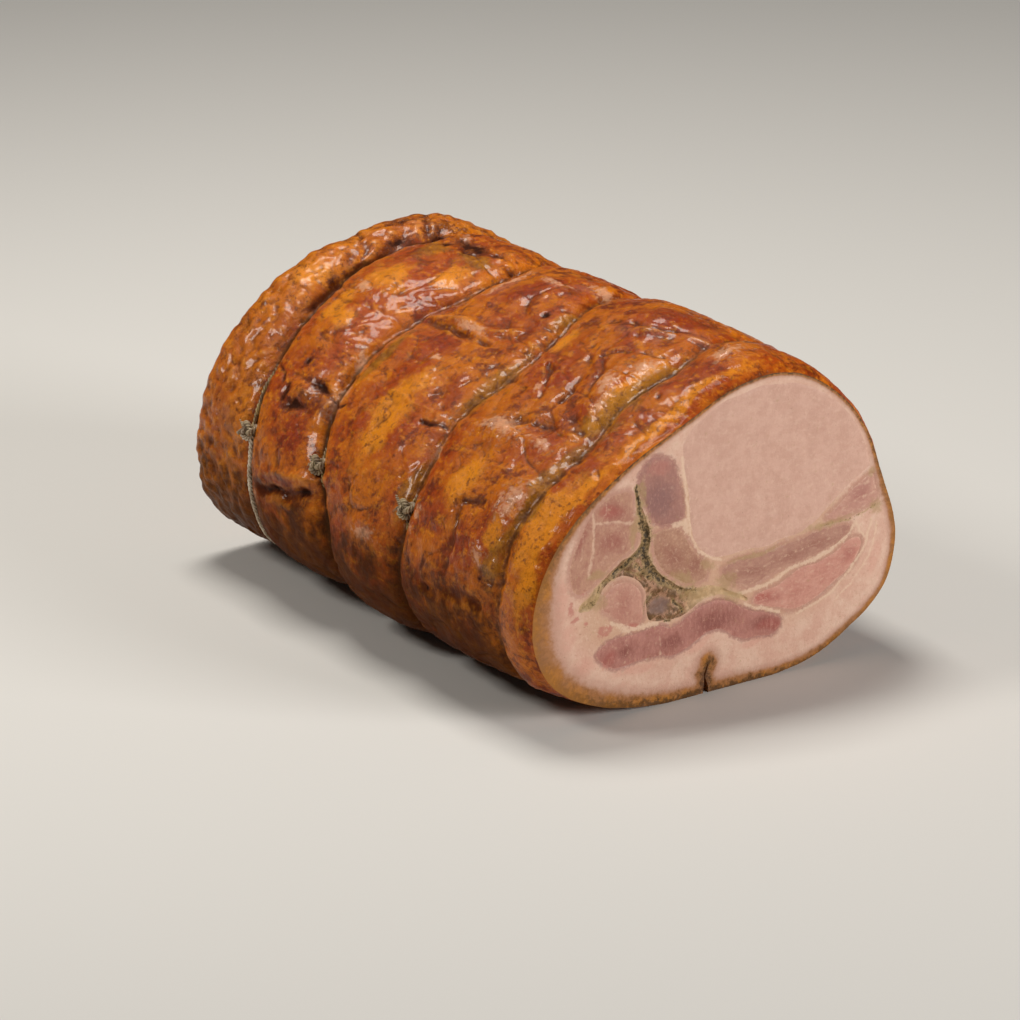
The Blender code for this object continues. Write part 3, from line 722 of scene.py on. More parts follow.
OLIVE = (
    (223, -26, 26, 7, 0), (191, -109, 60, 5, 0), (252, -103, 26, 5, 0), (160, -31, 20, 6, 0),
    (273, -19, 12, 5, 0), (150, -107, 12, 6, 0), (210, 44, 20, 4, 0), (283, 67, 8, 14, 0),
    (277, 90, 8, 8, 0), (222, -98, 8, 8, 0), (233, -102, 20, 6, 0),
)  # fmt: skip
# Lilac streaks along ridges and near the top: a painted sheen.
LILAC_SHEEN = (
    (276, -56, 3, 10, -12), (282, -74, 3.4, 12, -20), (291, -93, 4.5, 14, -12), (278, 33, 18, 3, 0),
    (289, 13, 2, 14, 0), (298, -1, 5, 10, 0), (138, -14, 5, 10, 0), (289, 116, 8, 12, 0), (176, 44, 9, 4, 0),
)  # fmt: skip


def tint(girth, along, patches, seed, hidden):
    """Strongest of some patches at each point, with more by chance on the hidden side."""
    sow = np.random.default_rng(seed)
    more = [
        (sow.uniform(320, 530), sow.uniform(CUT_Y, RIM_START), *sow.uniform(5, 20, 2), 0)
        for _ in range(hidden)
    ]
    wobble_g = girth + 3.0 * cloudy(girth, along, 9, seed)
    wobble_y = along + 3.0 * cloudy(girth, along, 9, seed + 1)
    total = np.zeros_like(girth)
    for patch in list(patches) + more:
        total = np.maximum(total, in_patch(wobble_g, wobble_y, patch))
    return total


def string_burn(girth, along):
    """How burnt the skin is in the grooves of the strings."""
    total = np.zeros_like(girth)
    for number in range(4):
        away = along - tie_line(number, girth) + 0.9 * cloudy(girth, along, 4, 45)
        width = 1.9 + 0.7 * cloudy(girth, along, 8, 46)
        if number == LAST_TIE:
            width += 0.9 * smooth_step(girth, 200, 240)
        total = np.maximum(total, round_girth(TIE_BURNS[number], girth) * np.exp(-((away / width) ** 2)))
    return total


skin_tints = {
    "pale_film": tint(skin_girth, skin_along, PALE_FILMS_AND_SHEEN, 31, 12),
    "golden": tint(skin_girth, skin_along, GOLDEN_AND_PAINTED_LIGHT, 33, 8),
    "reddened": tint(skin_girth, skin_along, REDDENED, 35, 10),
    "olive": tint(skin_girth, skin_along, OLIVE, 37, 8),
    "lilac": tint(skin_girth, skin_along, LILAC_SHEEN, 39, 3),
    "burnt": skin_burnt_and_crease_shade,
    "string_burn": string_burn(skin_girth, skin_along),
    "fine_hollow": fine_hollow,
    "wide_hollow": wide_hollow,
    "far_band": smooth_step(skin_along - tie_line(LAST_TIE, skin_girth), -2, 6),
    "seam_side": np.exp(-((from_seam(skin_girth) / 4.5) ** 2)),
    # The lower sides of the roll, where the base colour gets painted shade and the gloss is duller.
    "under_side": (1 - smooth_step(GIRTH / 2 - np.abs(skin_girth - GIRTH / 2), 100, 165))
    * smooth_step(skin_along, CUT_Y + 12, CUT_Y + 35),
    "sliced_edge": 1 - smooth_step(skin_along, CUT_Y + 5, CUT_Y + 18),
}


# %% [markdown]
# The grid of points now becomes mesh, with every tint painted on it as a number per point. It is split
# into three lengths, because each would otherwise be too heavy to handle. They share their border points,
# so no gap shows between them.

# %% Build the skin
def make_piece(name, points, faces, masks):
    """Smooth mesh object from points in millimetres, with one number per point for each painted mask."""
    mesh = bpy.data.meshes.new(name)
    mesh.from_pydata(np.asarray(points) * MM, [], faces)
    for key, values in masks.items():
        layer = mesh.attributes.new(key, "FLOAT", "POINT")
        layer.data.foreach_set("value", np.asarray(values, np.float32).ravel())
    mesh.validate()
    mesh.shade_smooth()
    piece = bpy.data.objects.new(name, mesh)
    bpy.context.scene.collection.objects.link(piece)
    return piece


def grid_faces(rows, count):
    """Quads of a grid whose columns close on themselves, facing out."""
    k = np.arange(count)
    after = (k + 1) % count
    ring = np.stack([k, after, count + after, count + k], 1)
    return np.concatenate([ring + row * count for row in range(rows - 1)])


RIND_PIECES = 3
row_count = skin_girth.shape[0]
skin_pieces = []
for number in range(RIND_PIECES):
    first = round(number / RIND_PIECES * (row_count - 1))
    last = round((number + 1) / RIND_PIECES * (row_count - 1))
    rows = slice(first, last + 1)
    faces = grid_faces(last - first + 1, len(columns))
    values = {key: field[rows] for key, field in skin_tints.items()}
    piece = make_piece(f"rind_{number + 1}", skin_points[rows].reshape(-1, 3), faces, values)
    skin_pieces.append(piece)
    print(piece.name, "has", 2 * len(faces), "triangles")


# %% [markdown]
# ## The cut
# A slice through a trunk of pork shows whole muscles as islands in fat. The islands are drawn as closed
# curves. One triangulation covers the whole cut and respects every curve, so neighbouring pieces share
# their borders to the last point and no gap can open between them. Painting the islands on one flat disc
# would be quicker, but then none of them could be lifted out as a piece of its own.

# %% Outlines of the muscles and of the filling on the cut, as X and Z
MEATS = {
    "loin_eye": (
        (-19.5, 118.5), (-19.3, 110.5), (-18, 103), (-16.3, 95), (-15.6, 86.5), (-14.8, 78),
        (-12, 71), (-7, 65.5), (0, 62.9), (12, 62.1), (25, 62.3), (38, 63.4),
        (48, 65), (54.5, 68.2), (60.5, 72.8), (68, 79), (76, 84), (82.6, 87.2),
        (82.6, 91.5), (80.2, 99), (75.7, 107.5), (68.9, 116.6), (59.6, 125.2), (48, 131.6),
        (35, 135.3), (20, 136), (6, 133.8), (-6, 129.3), (-15, 124.5),
    ),
    "loin_cap": (
        (-35.5, 116), (-30, 114.8), (-25.6, 110.5), (-22.7, 104), (-20.6, 97), (-19.4, 90.5),
        (-19.3, 86), (-22.5, 83.6), (-29, 83.2), (-34, 84.3), (-37, 88), (-39.3, 93),
        (-41.4, 99), (-42.5, 104), (-43.2, 108.5), (-40, 113),
    ),
    "inner_muscle": (
        (-35.1, 80), (-29, 81), (-23, 80.3), (-18.8, 76.5), (-15.6, 71), (-11.5, 66),
        (-8, 61.5), (-6, 57.5), (-7, 54.6), (-12, 53.4), (-19, 54.9), (-26, 58.9),
        (-31.5, 64), (-35, 70.5), (-36, 76),
    ),
    "flank_muscle": (
        (-55, 102.8), (-50.5, 102.8), (-47.4, 100.5), (-46.6, 95), (-45.9, 90.5), (-44.4, 85),
        (-43.5, 80.6), (-45.4, 77.4), (-50, 74.3), (-56, 71), (-60.5, 68), (-65.5, 65.8),
        (-69.5, 62), (-75, 61), (-78.5, 65), (-79.5, 72), (-77.5, 80), (-74, 87.5),
        (-70, 93.8), (-65, 98.7), (-60.2, 101.8),
    ),
    "fillet": (
        (-62.5, 54), (-59, 59), (-53.6, 61.2), (-47.9, 60.3), (-43.6, 57), (-41.5, 51.4),
        (-41, 45.7), (-41.7, 41), (-44.5, 39.2), (-48.6, 40.5), (-53.6, 44.3), (-59.3, 48.6),
    ),
    "upper_band": (
        (1.8, 56.5), (8, 58.6), (16, 58.3), (26, 59.2), (36, 60.2), (46, 61.2),
        (56, 62.5), (65, 62.7), (72.5, 61.8), (72.8, 58.5), (67, 54.8), (59.5, 52.6),
        (50.7, 50.6), (41.4, 50), (32, 49), (26.4, 47.4), (20, 45.2), (13.6, 45.6),
        (7, 49), (3, 52.7),
    ),
    "outer_band": (
        (19, 37.9), (20.6, 40.3), (24.5, 41), (31, 41.2), (38, 44.3), (45, 47.1),
        (54.3, 47.7), (62.9, 50), (70, 53.2), (75, 55), (78.6, 54), (79.6, 51),
        (77, 45.7), (72, 41.2), (66.4, 37.7), (59.3, 33.8), (52, 30.9), (45, 28.9),
        (38.5, 29.6), (32, 31.8), (26, 34), (20.6, 36.2),
    ),
    "belly_band": (
        (-65, 30.8), (-61, 35), (-55, 36.4), (-48, 36), (-43, 36), (-38, 37),
        (-33.6, 37.3), (-29.3, 36.9), (-26.4, 35.7), (-21.4, 35.7), (-16.4, 38), (-10, 40.6),
        (-3, 41.9), (3, 41.2), (8, 38.9), (12.5, 36.2), (18, 33.7), (25, 31),
        (31, 28.2), (34.5, 25.3), (33.6, 21.6), (29.5, 19.7), (22, 20), (15, 21),
        (9, 23), (5, 26), (0.7, 28.4), (-6.4, 28), (-14.3, 25), (-22, 22.2),
        (-26.4, 22), (-31.4, 23.3), (-40.7, 23), (-53.6, 22.9), (-60, 25.8),
    ),
    "side_wedge": (
        (60, 68.2), (64.3, 71.5), (70, 76), (76, 80), (82, 83), (85.6, 82.6),
        (86.8, 78), (87.9, 72.9), (85, 70.3), (79, 68.6), (72, 67.2), (65, 66.6),
    ),
    "herb_stuffing": (
        (-44.8, 104.6), (-44.2, 101), (-43.2, 97), (-41.4, 92), (-39.2, 87), (-37.8, 82),
        (-37.8, 76.5), (-38.3, 71), (-35, 64.8), (-30, 59.2), (-24.5, 55.2), (-19, 52.2),
        (-13.5, 50.4), (-8, 50.6), (-3, 49.8), (3, 47), (9, 43.8), (15, 40.7),
        (15.9, 38.7), (12.5, 39.6), (7, 42.2), (0, 44.6), (-8, 44), (-14, 41.3),
        (-20, 39.2), (-27, 39.4), (-33.5, 40), (-38.2, 41.5), (-39, 47), (-39.4, 53),
        (-42, 58.9), (-47.3, 62.8), (-54.5, 63.9), (-61, 61.4), (-64.8, 56.2), (-69, 52.5),
        (-74.5, 53), (-73.5, 56.2), (-68.5, 58.5), (-65.8, 62.4), (-60.5, 65), (-56.5, 67.9),
        (-51.5, 71.2), (-46.5, 73.4), (-42.8, 76.5), (-41.6, 81), (-42.5, 86), (-44.1, 91.5),
        (-45.1, 98), (-45.4, 103),
    ),
}  # fmt: skip


# %% [markdown]
# No muscle has a border as clean as a drawn curve. One smooth field of small shifts bends all the curves
# together, so they turn wavy and still never cross.

# %% Wavy outlines
PLANE_SHIFT = (150, -60)


def plane_noise(x, z, size, seed):
    """The noise of the skin, laid over the cut by X and Z."""
    return cloudy(np.asarray(x) + PLANE_SHIFT[0], np.asarray(z) + PLANE_SHIFT[1], size, seed)


def bend(points):
    """Points of the cut, each shifted a little."""
    x, z = points[:, 0], points[:, 1]
    across = 0.65 * plane_noise(x, z, 6, 51) + 0.3 * plane_noise(x, z, 2.4, 52)
    up = 0.65 * plane_noise(x, z, 6, 53) + 0.3 * plane_noise(x, z, 2.4, 54)
    return points + np.stack([across, up], 1)


LOOP_GAP = 0.6
meat_loops = {name: bend(closed_outline(knots, LOOP_GAP)) for name, knots in MEATS.items()}
cut_rim = skin_points[0][:, [0, 2]]
far_rim = skin_points[-1][:, [0, 2]]
print("points on the outlines:", sum(len(loop) for loop in meat_loops.values()))


# %% [markdown]
# Inside the curves the triangles have to be small, because the marks and the relief of the cut are stored
# at their corners. Points in a slightly shaken grid are added, and Blender's own triangulation joins them
# and tells which triangle lies in which curve.

# %% Triangles of a whole cut
def nearest(points, targets):
    """Distance to the nearest target, and which one it is, for each point."""
    tree = KDTree(len(targets))
    for k, target in enumerate(targets):
        tree.insert((target[0], target[1], 0), k)
    tree.balance()
    found = [tree.find((x, z, 0)) for x, z in points]
    return np.array([f[2] for f in found]), np.array([f[1] for f in found])


def split_cut(rim, loops, gap, seed):
    """Points and triangles of a flat cut, and the region of each triangle. Region 0 is the fat."""
    sow = np.random.default_rng(seed)
    low, high = rim.min(0), rim.max(0)
    x, z = np.meshgrid(np.arange(low[0], high[0], gap), np.arange(low[1], high[1], gap * 0.87))
    x[::2] += gap / 2
    inner = np.stack([x.ravel(), z.ravel()], 1) + sow.uniform(-0.22, 0.22, (x.size, 2)) * gap
    outlines = [rim[::-1]] + [loop[::-1] for loop in loops]
    drawn = np.vstack(outlines)
    inner = inner[nearest(inner, drawn)[0] > gap * 0.45]
    points = np.vstack([drawn, inner])
    rings, start = [], 0
    for outline in outlines:
        rings.append(list(range(start, start + len(outline))))
        start += len(outline)
    flat = [Vector(p) for p in points]
    verts, _, faces, _, _, sources = delaunay_2d_cdt(flat, [], rings, 1, 1e-5, True)
    inside = [k for k, source in enumerate(sources) if source]
    print("triangles outside every outline:", len(faces) - len(inside))
    region = np.array([max(sources[k]) for k in inside])
    return np.array([(v.x, v.y) for v in verts]), np.array([faces[k] for k in inside]), region


names = list(meat_loops)
cut_points, cut_faces, cut_region = split_cut(cut_rim, list(meat_loops.values()), 0.68, 61)
print("the cut has", len(cut_faces), "triangles")


# %% [markdown]
# The far end went into the oven uncut and came out as a crust. The same muscles run through to it, a
# little narrower and slightly turned, and end under the browned surface.

# %% Outlines at the roasted end
FAR_SCALE = 0.85
FAR_TURN = math.radians(4)


def far_outline(points):
    """An outline of the cut, made narrower and turned as at the roasted end."""
    cos, sin = math.cos(FAR_TURN), math.sin(FAR_TURN)
    turn = np.array(((cos, -sin), (sin, cos)))
    return CORE + (points - CORE) @ turn.T * FAR_SCALE


def dome_y(points):
    """Y of the roasted end, from the share of the way from the middle to the rim."""
    reach, edge = points - CORE, far_rim - CORE
    bearing = np.arctan2(edge[:, 1], edge[:, 0])
    order = np.argsort(bearing)
    radius = np.linalg.norm(edge, axis=1)[order]
    towards = np.arctan2(reach[:, 1], reach[:, 0])
    share = np.linalg.norm(reach, axis=1) / np.interp(towards, bearing[order], radius, period=2 * math.pi)
    return FAR_Y - DOME_HEIGHT * np.minimum(share, 1) ** 2


far_loops = [far_outline(loop) for loop in meat_loops.values()]
far_points, far_faces, far_region = split_cut(far_rim, [loop[::2] for loop in far_loops], 1.3, 62)
print("the roasted end has", len(far_faces), "triangles")

# %% [markdown]
# Sinew and fat run through the muscles as pale lines, and the lean has darker and redder patches. They are
# listed in the same millimetres as the outlines. Herbs smear past the edge of the filling, so their mask is
# laid over every piece alike.

# %% Marks on the cut
PALE_LINES = (
    (((-68.5, 99), (-67.5, 92), (-67, 85), (-68.2, 76), (-70, 68)), 0.9, 0.9),
    (((-66, 91.5), (-60, 90.6), (-55, 89.6), (-50, 88.2), (-46, 88)), 0.7, 0.8),
    (((-74, 91), (-73, 84), (-74, 76)), 0.6, 0.4),
    (((-62, 87), (-60, 78), (-62, 71)), 0.6, 0.4),
    (((-52, 86), (-50, 80), (-52, 76)), 0.6, 0.35),
    (((-60, 101), (-61, 96), (-64, 92)), 0.6, 0.5),
    (((60, 72.5), (67, 74.5), (75, 79), (83, 80.5)), 0.7, 0.55),
    (((66, 69), (74, 72), (86, 75)), 0.6, 0.5),
    (((45, 67), (56, 70.6), (66, 78.5), (78, 86)), 0.6, 0.5),
    (((8, 54), (20, 52), (34, 54), (48, 56), (62, 58)), 0.6, 0.4),
    (((24, 38), (34, 39), (46, 43), (60, 46), (72, 50)), 0.6, 0.35),
    (((30, 35), (44, 36), (58, 40)), 0.5, 0.25),
    (((-50, 35), (-49, 30), (-50, 24)), 0.5, 0.35),
    (((-32, 34), (-31, 29), (-31.5, 23)), 0.6, 0.5),
    (((-20, 34), (-18, 29), (-17, 25)), 0.5, 0.3),
    (((-60, 58), (-53, 52), (-46, 42)), 0.5, 0.3),
    (((-9, 69), (-4.5, 66), (2, 64.6)), 0.5, 0.3),
    (((-31, 79), (-27, 70), (-19, 60)), 0.5, 0.3),
    (((-26, 80), (-22, 72), (-14, 62)), 0.5, 0.3),
    (((22, 119), (36, 117), (52, 112), (66, 104)), 0.5, 0.22),
    (((-10, 101), (4, 98), (20, 99)), 0.5, 0.18),
    (((34, 84), (50, 83), (66, 88)), 0.5, 0.2),
)
# Patches of the lean: middle, half sizes, turn.
DARK_PATCHES = (
    (-57.5, 95.5, 8, 4.6, -20), (-74, 86, 3.6, 8, -15), (-57, 81, 8, 6, 0), (-33, 95, 10, 9, 0),
    (-50, 29, 5, 3, 0), (-2, 33, 13, 7, 0), (-12, 60, 6, 5, -40), (40, 55, 14, 3, 4),
    (26, 25, 9, 3.6, -10), (-26, 27.5, 9, 4, 0), (27, 37, 9, 3.4, -15), (73, 48, 5, 4, 40),
    (-52, 50, 6, 6, 30), (-25, 68, 5, 9, 35), (18, 52, 12, 3, 0), (55, 57, 12, 3, 0), (78, 77, 6, 4, 20),
)  # fmt: skip
RED_PATCHES = (
    (-33, 110, 8, 5, 0), (-79, 55, 1.8, 4.4, 15), (-76, 49.5, 3.4, 2.0, 20), (-61, 42, 5.4, 3.8, 30),
    (-47, 39, 4, 2, -20), (-59, 96, 6, 3.4, -20), (-60, 28, 6, 4, 20), (28, 24, 7, 3, 0),
    (24, 38.5, 5, 2.6, 0), (-72, 59, 3, 1.6, 0), (-71, 46, 2.0, 1.4, 0),
)  # fmt: skip
CREAM_LINES = (
    (((9, 42.5), (15, 43), (22, 43), (30, 44.5), (38, 48), (50, 49.5), (60, 51.6), (69, 56), (75, 61)), 1.3),
    (((15, 37.6), (20, 34.6), (27, 32.2), (34, 29.2)), 1.0),
    (
        ((-20.5, 112), (-18.6, 100), (-17.2, 90), (-16.8, 84), (-15.6, 76), (-12.4, 69), (-7, 63.8), (1, 61)),
        1.0,
    ),
    (((-24, 82), (-19, 82), (-18, 78)), 2.2),
    (((-57, 44), (-50, 39.4), (-42, 38.6), (-34, 38.4)), 1.6),
    (((85, 62), (82.5, 53), (78, 45.5), (71, 38.6), (64, 33.6), (54, 28.6), (44, 26.6)), 0.9),
    (((88, 60), (86.5, 51), (82, 42), (74, 34), (64, 28)), 0.6),
    (((76, 63), (78, 58), (82, 54)), 0.8),
)
PINK_PATCHES = (
    (-84, 60, 4, 14, 0), (-80, 42, 5, 8, -20), (-44, 20, 14, 3.0, 0), (-72, 28, 7, 5, 30),
    (86, 44, 4, 10, -20), (-10, 24, 8, 2.4, 20), (20, 18, 10, 2.0, 0), (66, 52, 12, 3, 30),
)  # fmt: skip
HERB_LINES = (
    (((-44.8, 103), (-43.8, 98), (-43, 92), (-41.4, 87)), 1.2, 1.0),
    (((-41.4, 87), (-39.4, 82), (-39, 78), (-40, 73.5)), 2.6, 1.0),
    (((-41, 74), (-48, 70.6), (-52, 68.2), (-56, 65.4)), 1.6, 1.0),
    (((-56, 65.4), (-60, 63.4), (-63.8, 61.4), (-65, 58), (-66.4, 55.4), (-72, 54)), 1.3, 0.6),
    (((-40, 72), (-38.2, 66), (-35.2, 62), (-30, 57.4)), 2.4, 1.0),
    (((-45, 68), (-41, 64), (-37, 60)), 1.6, 0.8),
    (((-30, 57.4), (-25, 54.4), (-20, 51.6), (-13, 49.6)), 1.5, 0.7),
    (((-24.6, 48), (-21.6, 44.6), (-18.6, 41.2)), 0.9, 1.0),
    (((-29, 39), (-26.6, 38.2)), 0.8, 0.9),
    (((-50, 66), (-44, 64), (-41, 60)), 0.7, 0.6),
    (((56.4, 65), (64, 64.8), (72, 64.6), (80.7, 66.8), (91, 69)), 0.6, 0.5),
    (((-40, 44), (-39.6, 50), (-36, 52.6)), 0.5, 0.5),
)
OLIVE_PATCHES = (
    (-12, 47, 12, 4, -8), (4, 50, 6, 6, 0), (-6, 60, 4, 3, 0), (-66, 56, 7, 4, 0), (8, 42, 8, 3, -20),
    (-46, 84, 2.6, 9, 0), (60, 65.5, 16, 2, 5), (88, 68, 5, 4, 0), (-42, 100, 3, 8, 0), (-66, 66, 6, 3, 0),
    (20, 60, 18, 1.4, 4), (84, 84, 5, 2.4, 20), (-20, 57, 8, 3, -30),
)  # fmt: skip
PATCHES = {"dark": DARK_PATCHES, "red": RED_PATCHES, "pink": PINK_PATCHES, "olive": OLIVE_PATCHES}
CLUMP = (-32, 46.4, 6.6, 4.2, -8)
# Width of the browned rim and how dark its line is, at evenly spaced places from the middle of the base.
RIM_WIDTHS = (5.5, 6, 8, 10.5, 10.5, 4.5, 2.8, 2.0, 1.7, 1.7, 1.7, 2.0, 3.5, 3, 3.5, 4)
RIM_DARKS = (1, 1, 0.75, 0.4, 0.4, 0.7, 1, 1, 1, 1, 1, 0.9, 0.5, 0.4, 0.6, 0.9)


def cut_marks(x, z):
    """Masks of everything that is drawn on the cut, at points given by X and Z."""
    shift_x = x + 0.5 * plane_noise(x, z, 3, 71) + 0.3 * plane_noise(x, z, 1.2, 72)
    shift_z = z + 0.5 * plane_noise(x, z, 3, 73) + 0.3 * plane_noise(x, z, 1.2, 74)
    soft_x = x + 1.6 * plane_noise(x, z, 7, 75)
    soft_z = z + 1.6 * plane_noise(x, z, 7, 76)
    marks = {key: np.zeros(len(x)) for key in ("pale", "dark", "red", "cream", "pink", "herb", "olive")}
    for line, width, share in PALE_LINES:
        marks["pale"] = np.maximum(marks["pale"], share * near_line(shift_x, shift_z, line, width))
    for line, width in CREAM_LINES:
        marks["cream"] = np.maximum(marks["cream"], near_line(shift_x, shift_z, line, width))
    for line, width, share in HERB_LINES:
        marks["herb"] = np.maximum(marks["herb"], share * near_line(shift_x, shift_z, line, width))
    for key, patches in PATCHES.items():
        for patch in patches:
            marks[key] = np.maximum(marks[key], in_patch(soft_x, soft_z, patch))
    marks["clump"] = in_patch(shift_x, shift_z, CLUMP)
    right_end, left_end = smooth_step(soft_x, -22, -8), smooth_step(-soft_x, 57, 66)
    marks["pale_crumb"] = np.maximum(right_end, 0.7 * left_end)
    return marks


all_loops = np.vstack(list(meat_loops.values()))
edge_mm, _ = nearest(cut_points, all_loops)
rim_mm, rim_column = nearest(cut_points, cut_rim)
rim_girth = columns[rim_column]
cut_masks = cut_marks(cut_points[:, 0], cut_points[:, 1])
cut_masks["edge"] = edge_mm
DARK_MEATS = ("loin_cap", "belly_band")
PINK_MEATS = ("inner_muscle", "flank_muscle", "fillet", "upper_band", "outer_band", "side_wedge")
for key, some_names in (("dark_mm", DARK_MEATS), ("pink_mm", PINK_MEATS)):
    cut_masks[key], _ = nearest(cut_points, np.vstack([meat_loops[name] for name in some_names]))
cut_masks["rim"] = rim_mm / np.maximum(round_girth(RIM_WIDTHS, rim_girth), 1)
cut_masks["rim_dark"] = round_girth(RIM_DARKS, rim_girth)
cut_masks["rim_mm"] = rim_mm
SEAM_X, SEAM_STAIN, SEAM_TOP = -6.5, 4.2, 8
seam_mm = np.hypot(cut_points[:, 0] - SEAM_X, np.maximum(cut_points[:, 1] - SEAM_TOP, 0))
cut_masks["seam"] = np.exp(-((seam_mm / SEAM_STAIN) ** 2)) * (1 - smooth_step(cut_points[:, 1], 10, 18))

# %% [markdown]
# A knife drags meat as it passes. Muscles sink a hair at their borders, fibres stand up a little, and the
# filling crumbles. A tenth of a millimetre is enough to make a wet cut catch the light unevenly. The crust
# of the roasted end is rougher: the lean swelled, and the fat between shrank by a millimetre or two.

# %% Relief of the cut and of the crust
herb_number = names.index("herb_stuffing") + 1
x, z = cut_points[:, 0], cut_points[:, 1]
away_from_rim = smooth_step(rim_mm, 0, 1.6)
cut_rise = 0.10 * plane_noise(x, z, 7, 81) + 0.06 * plane_noise(x, z, 2.4, 82)
cut_rise += 0.03 * plane_noise(x, z, 1.1, 83)
sunk = np.clip(0.1 + 0.16 * plane_noise(x, z, 5, 86), 0, 1)
cut_rise -= sunk * np.exp(-((edge_mm / 0.8) ** 2)) + 0.1 * cut_masks["pale"]
in_herb = np.zeros(len(cut_points))
in_herb[np.unique(cut_faces[cut_region == herb_number])] = 1
crumbs = 0.7 * plane_noise(x, z, 2.6, 84) + 0.4 * plane_noise(x, z, 1.3, 85) - 0.35
cut_rise += in_herb * smooth_step(edge_mm, 0, 1.0) * crumbs
cut_rise -= 0.5 * cut_masks["herb"] * smooth_step(edge_mm, 0, 0.8)
cut_y = CUT_Y - cut_rise * away_from_rim
cut_places = np.stack([x, cut_y, z], 1)

far_x, far_z = far_points[:, 0], far_points[:, 1]
far_mm, _ = nearest(far_points, far_rim)
far_edge, _ = nearest(far_points, np.vstack(far_loops))
lean_end = np.zeros(len(far_points))
lean_end[np.unique(far_faces[far_region > 0])] = 1
crust = 1.1 * plane_noise(far_x, far_z, 16, 91) + 0.7 * plane_noise(far_x, far_z, 6, 92)
crust += 0.4 * plane_noise(far_x, far_z, 2.8, 93)
crust -= 0.9 * np.clip(1 - np.abs(plane_noise(far_x, far_z, 9, 94)) * 4, 0, 1) ** 2
crust += (lean_end * 2.0 - 0.8) * smooth_step(far_edge, 0, 9)
far_y = dome_y(far_points) + (crust - 1.2) * smooth_step(far_mm, 0, 5)
far_places = np.stack([far_x, far_y, far_z], 1)
print("cut relief spans", np.round([cut_rise.min(), cut_rise.max()], 2), "mm")


# %% [markdown]
# Each muscle is one piece: its face on the cut, its crust at the roasted end, and a wall between them that
# starts a little behind the cut. The fat has its two faces too, and the skin joins them.

# %% Build the cut and the roasted end
def patch_of(places, faces, region, number, marks, backwards=False):
    """Points, triangles and marks of one region."""
    chosen = faces[region == number]
    used, local = np.unique(chosen, return_inverse=True)
    local = local.reshape(-1, 3)
    if backwards:
        local = local[:, ::-1]
    return places[used], local, {key: values[used] for key, values in marks.items()}


far_masks = {key: np.zeros(len(far_points)) for key in cut_masks}
far_masks["edge"] = far_edge
# How far behind the cut, and how deep under the crust, the wall of a muscle stops.
WALL_START, WALL_END = 1.2, 7.0


def meat_piece(number, name):
    """One muscle from the cut to the roasted end: its two ends and the wall between them."""
    front, front_faces, front_marks = patch_of(cut_places, cut_faces, cut_region, number, cut_masks)
    rear, rear_faces, rear_marks = patch_of(far_places, far_faces, far_region, number, far_masks, True)
    near, far = meat_loops[name][::2], far_loops[number - 1][::2]
    count = len(near)
    wall = np.zeros((2 * count, 3))
    wall[:count, [0, 2]], wall[:count, 1] = near, CUT_Y + WALL_START
    wall[count:, [0, 2]], wall[count:, 1] = far, dome_y(far) - WALL_END
    k = np.arange(count)
    after = (k + 1) % count
    start = len(front) + len(rear)
    sides = start + np.stack([k, after, after + count, k + count], 1)
    points = np.vstack([front, rear, wall])
    faces = front_faces.tolist() + (rear_faces + len(front)).tolist() + sides.tolist()
    unmarked = np.zeros(2 * count)
    marks = {key: np.concatenate([front_marks[key], rear_marks[key], unmarked]) for key in front_marks}
    piece = make_piece(f"cut_{name}", points, faces, marks)
    crust_faces = np.zeros(len(piece.data.polygons), np.int32)
    crust_faces[len(front_faces) : len(front_faces) + len(rear_faces)] = 1
    return piece, crust_faces


meat_pieces, crust_flags = {}, {}
for number, name in enumerate(names, 1):
    meat_pieces[name], crust_flags[name] = meat_piece(number, name)

points, faces, marks = patch_of(cut_places, cut_faces, cut_region, 0, cut_masks)
cut_fat = make_piece("cut_fat", points, faces.tolist(), marks)
points, faces, marks = patch_of(far_places, far_faces, far_region, 0, far_masks, True)
end_fat = make_piece("roasted_end_fat", points, faces.tolist(), marks)
print("pieces on the cut:", len(meat_pieces) + 1)


# %% [markdown]
# ## The twine
# Kitchen twine is three strands of cotton twisted together. Each tie follows the skin, pressed into its
# groove, and sinks out of sight where the rind closed over it. Three thin tubes wound round one path give
# the twist a real edge against the light, which a bump pattern would not.

# %% Twisted cord along a path
STRAND_RADIUS = 0.55
SWOLLEN_RADIUS = 0.7
TWIST_PITCH = 6.5
KNOT_GIRTH = 154.0
# How deep under its groove a covered string lies, and how far an open one is lifted from there.
BURIED, LIFTED, LAST_LIFTED = 2.0, 3.4, 3.9


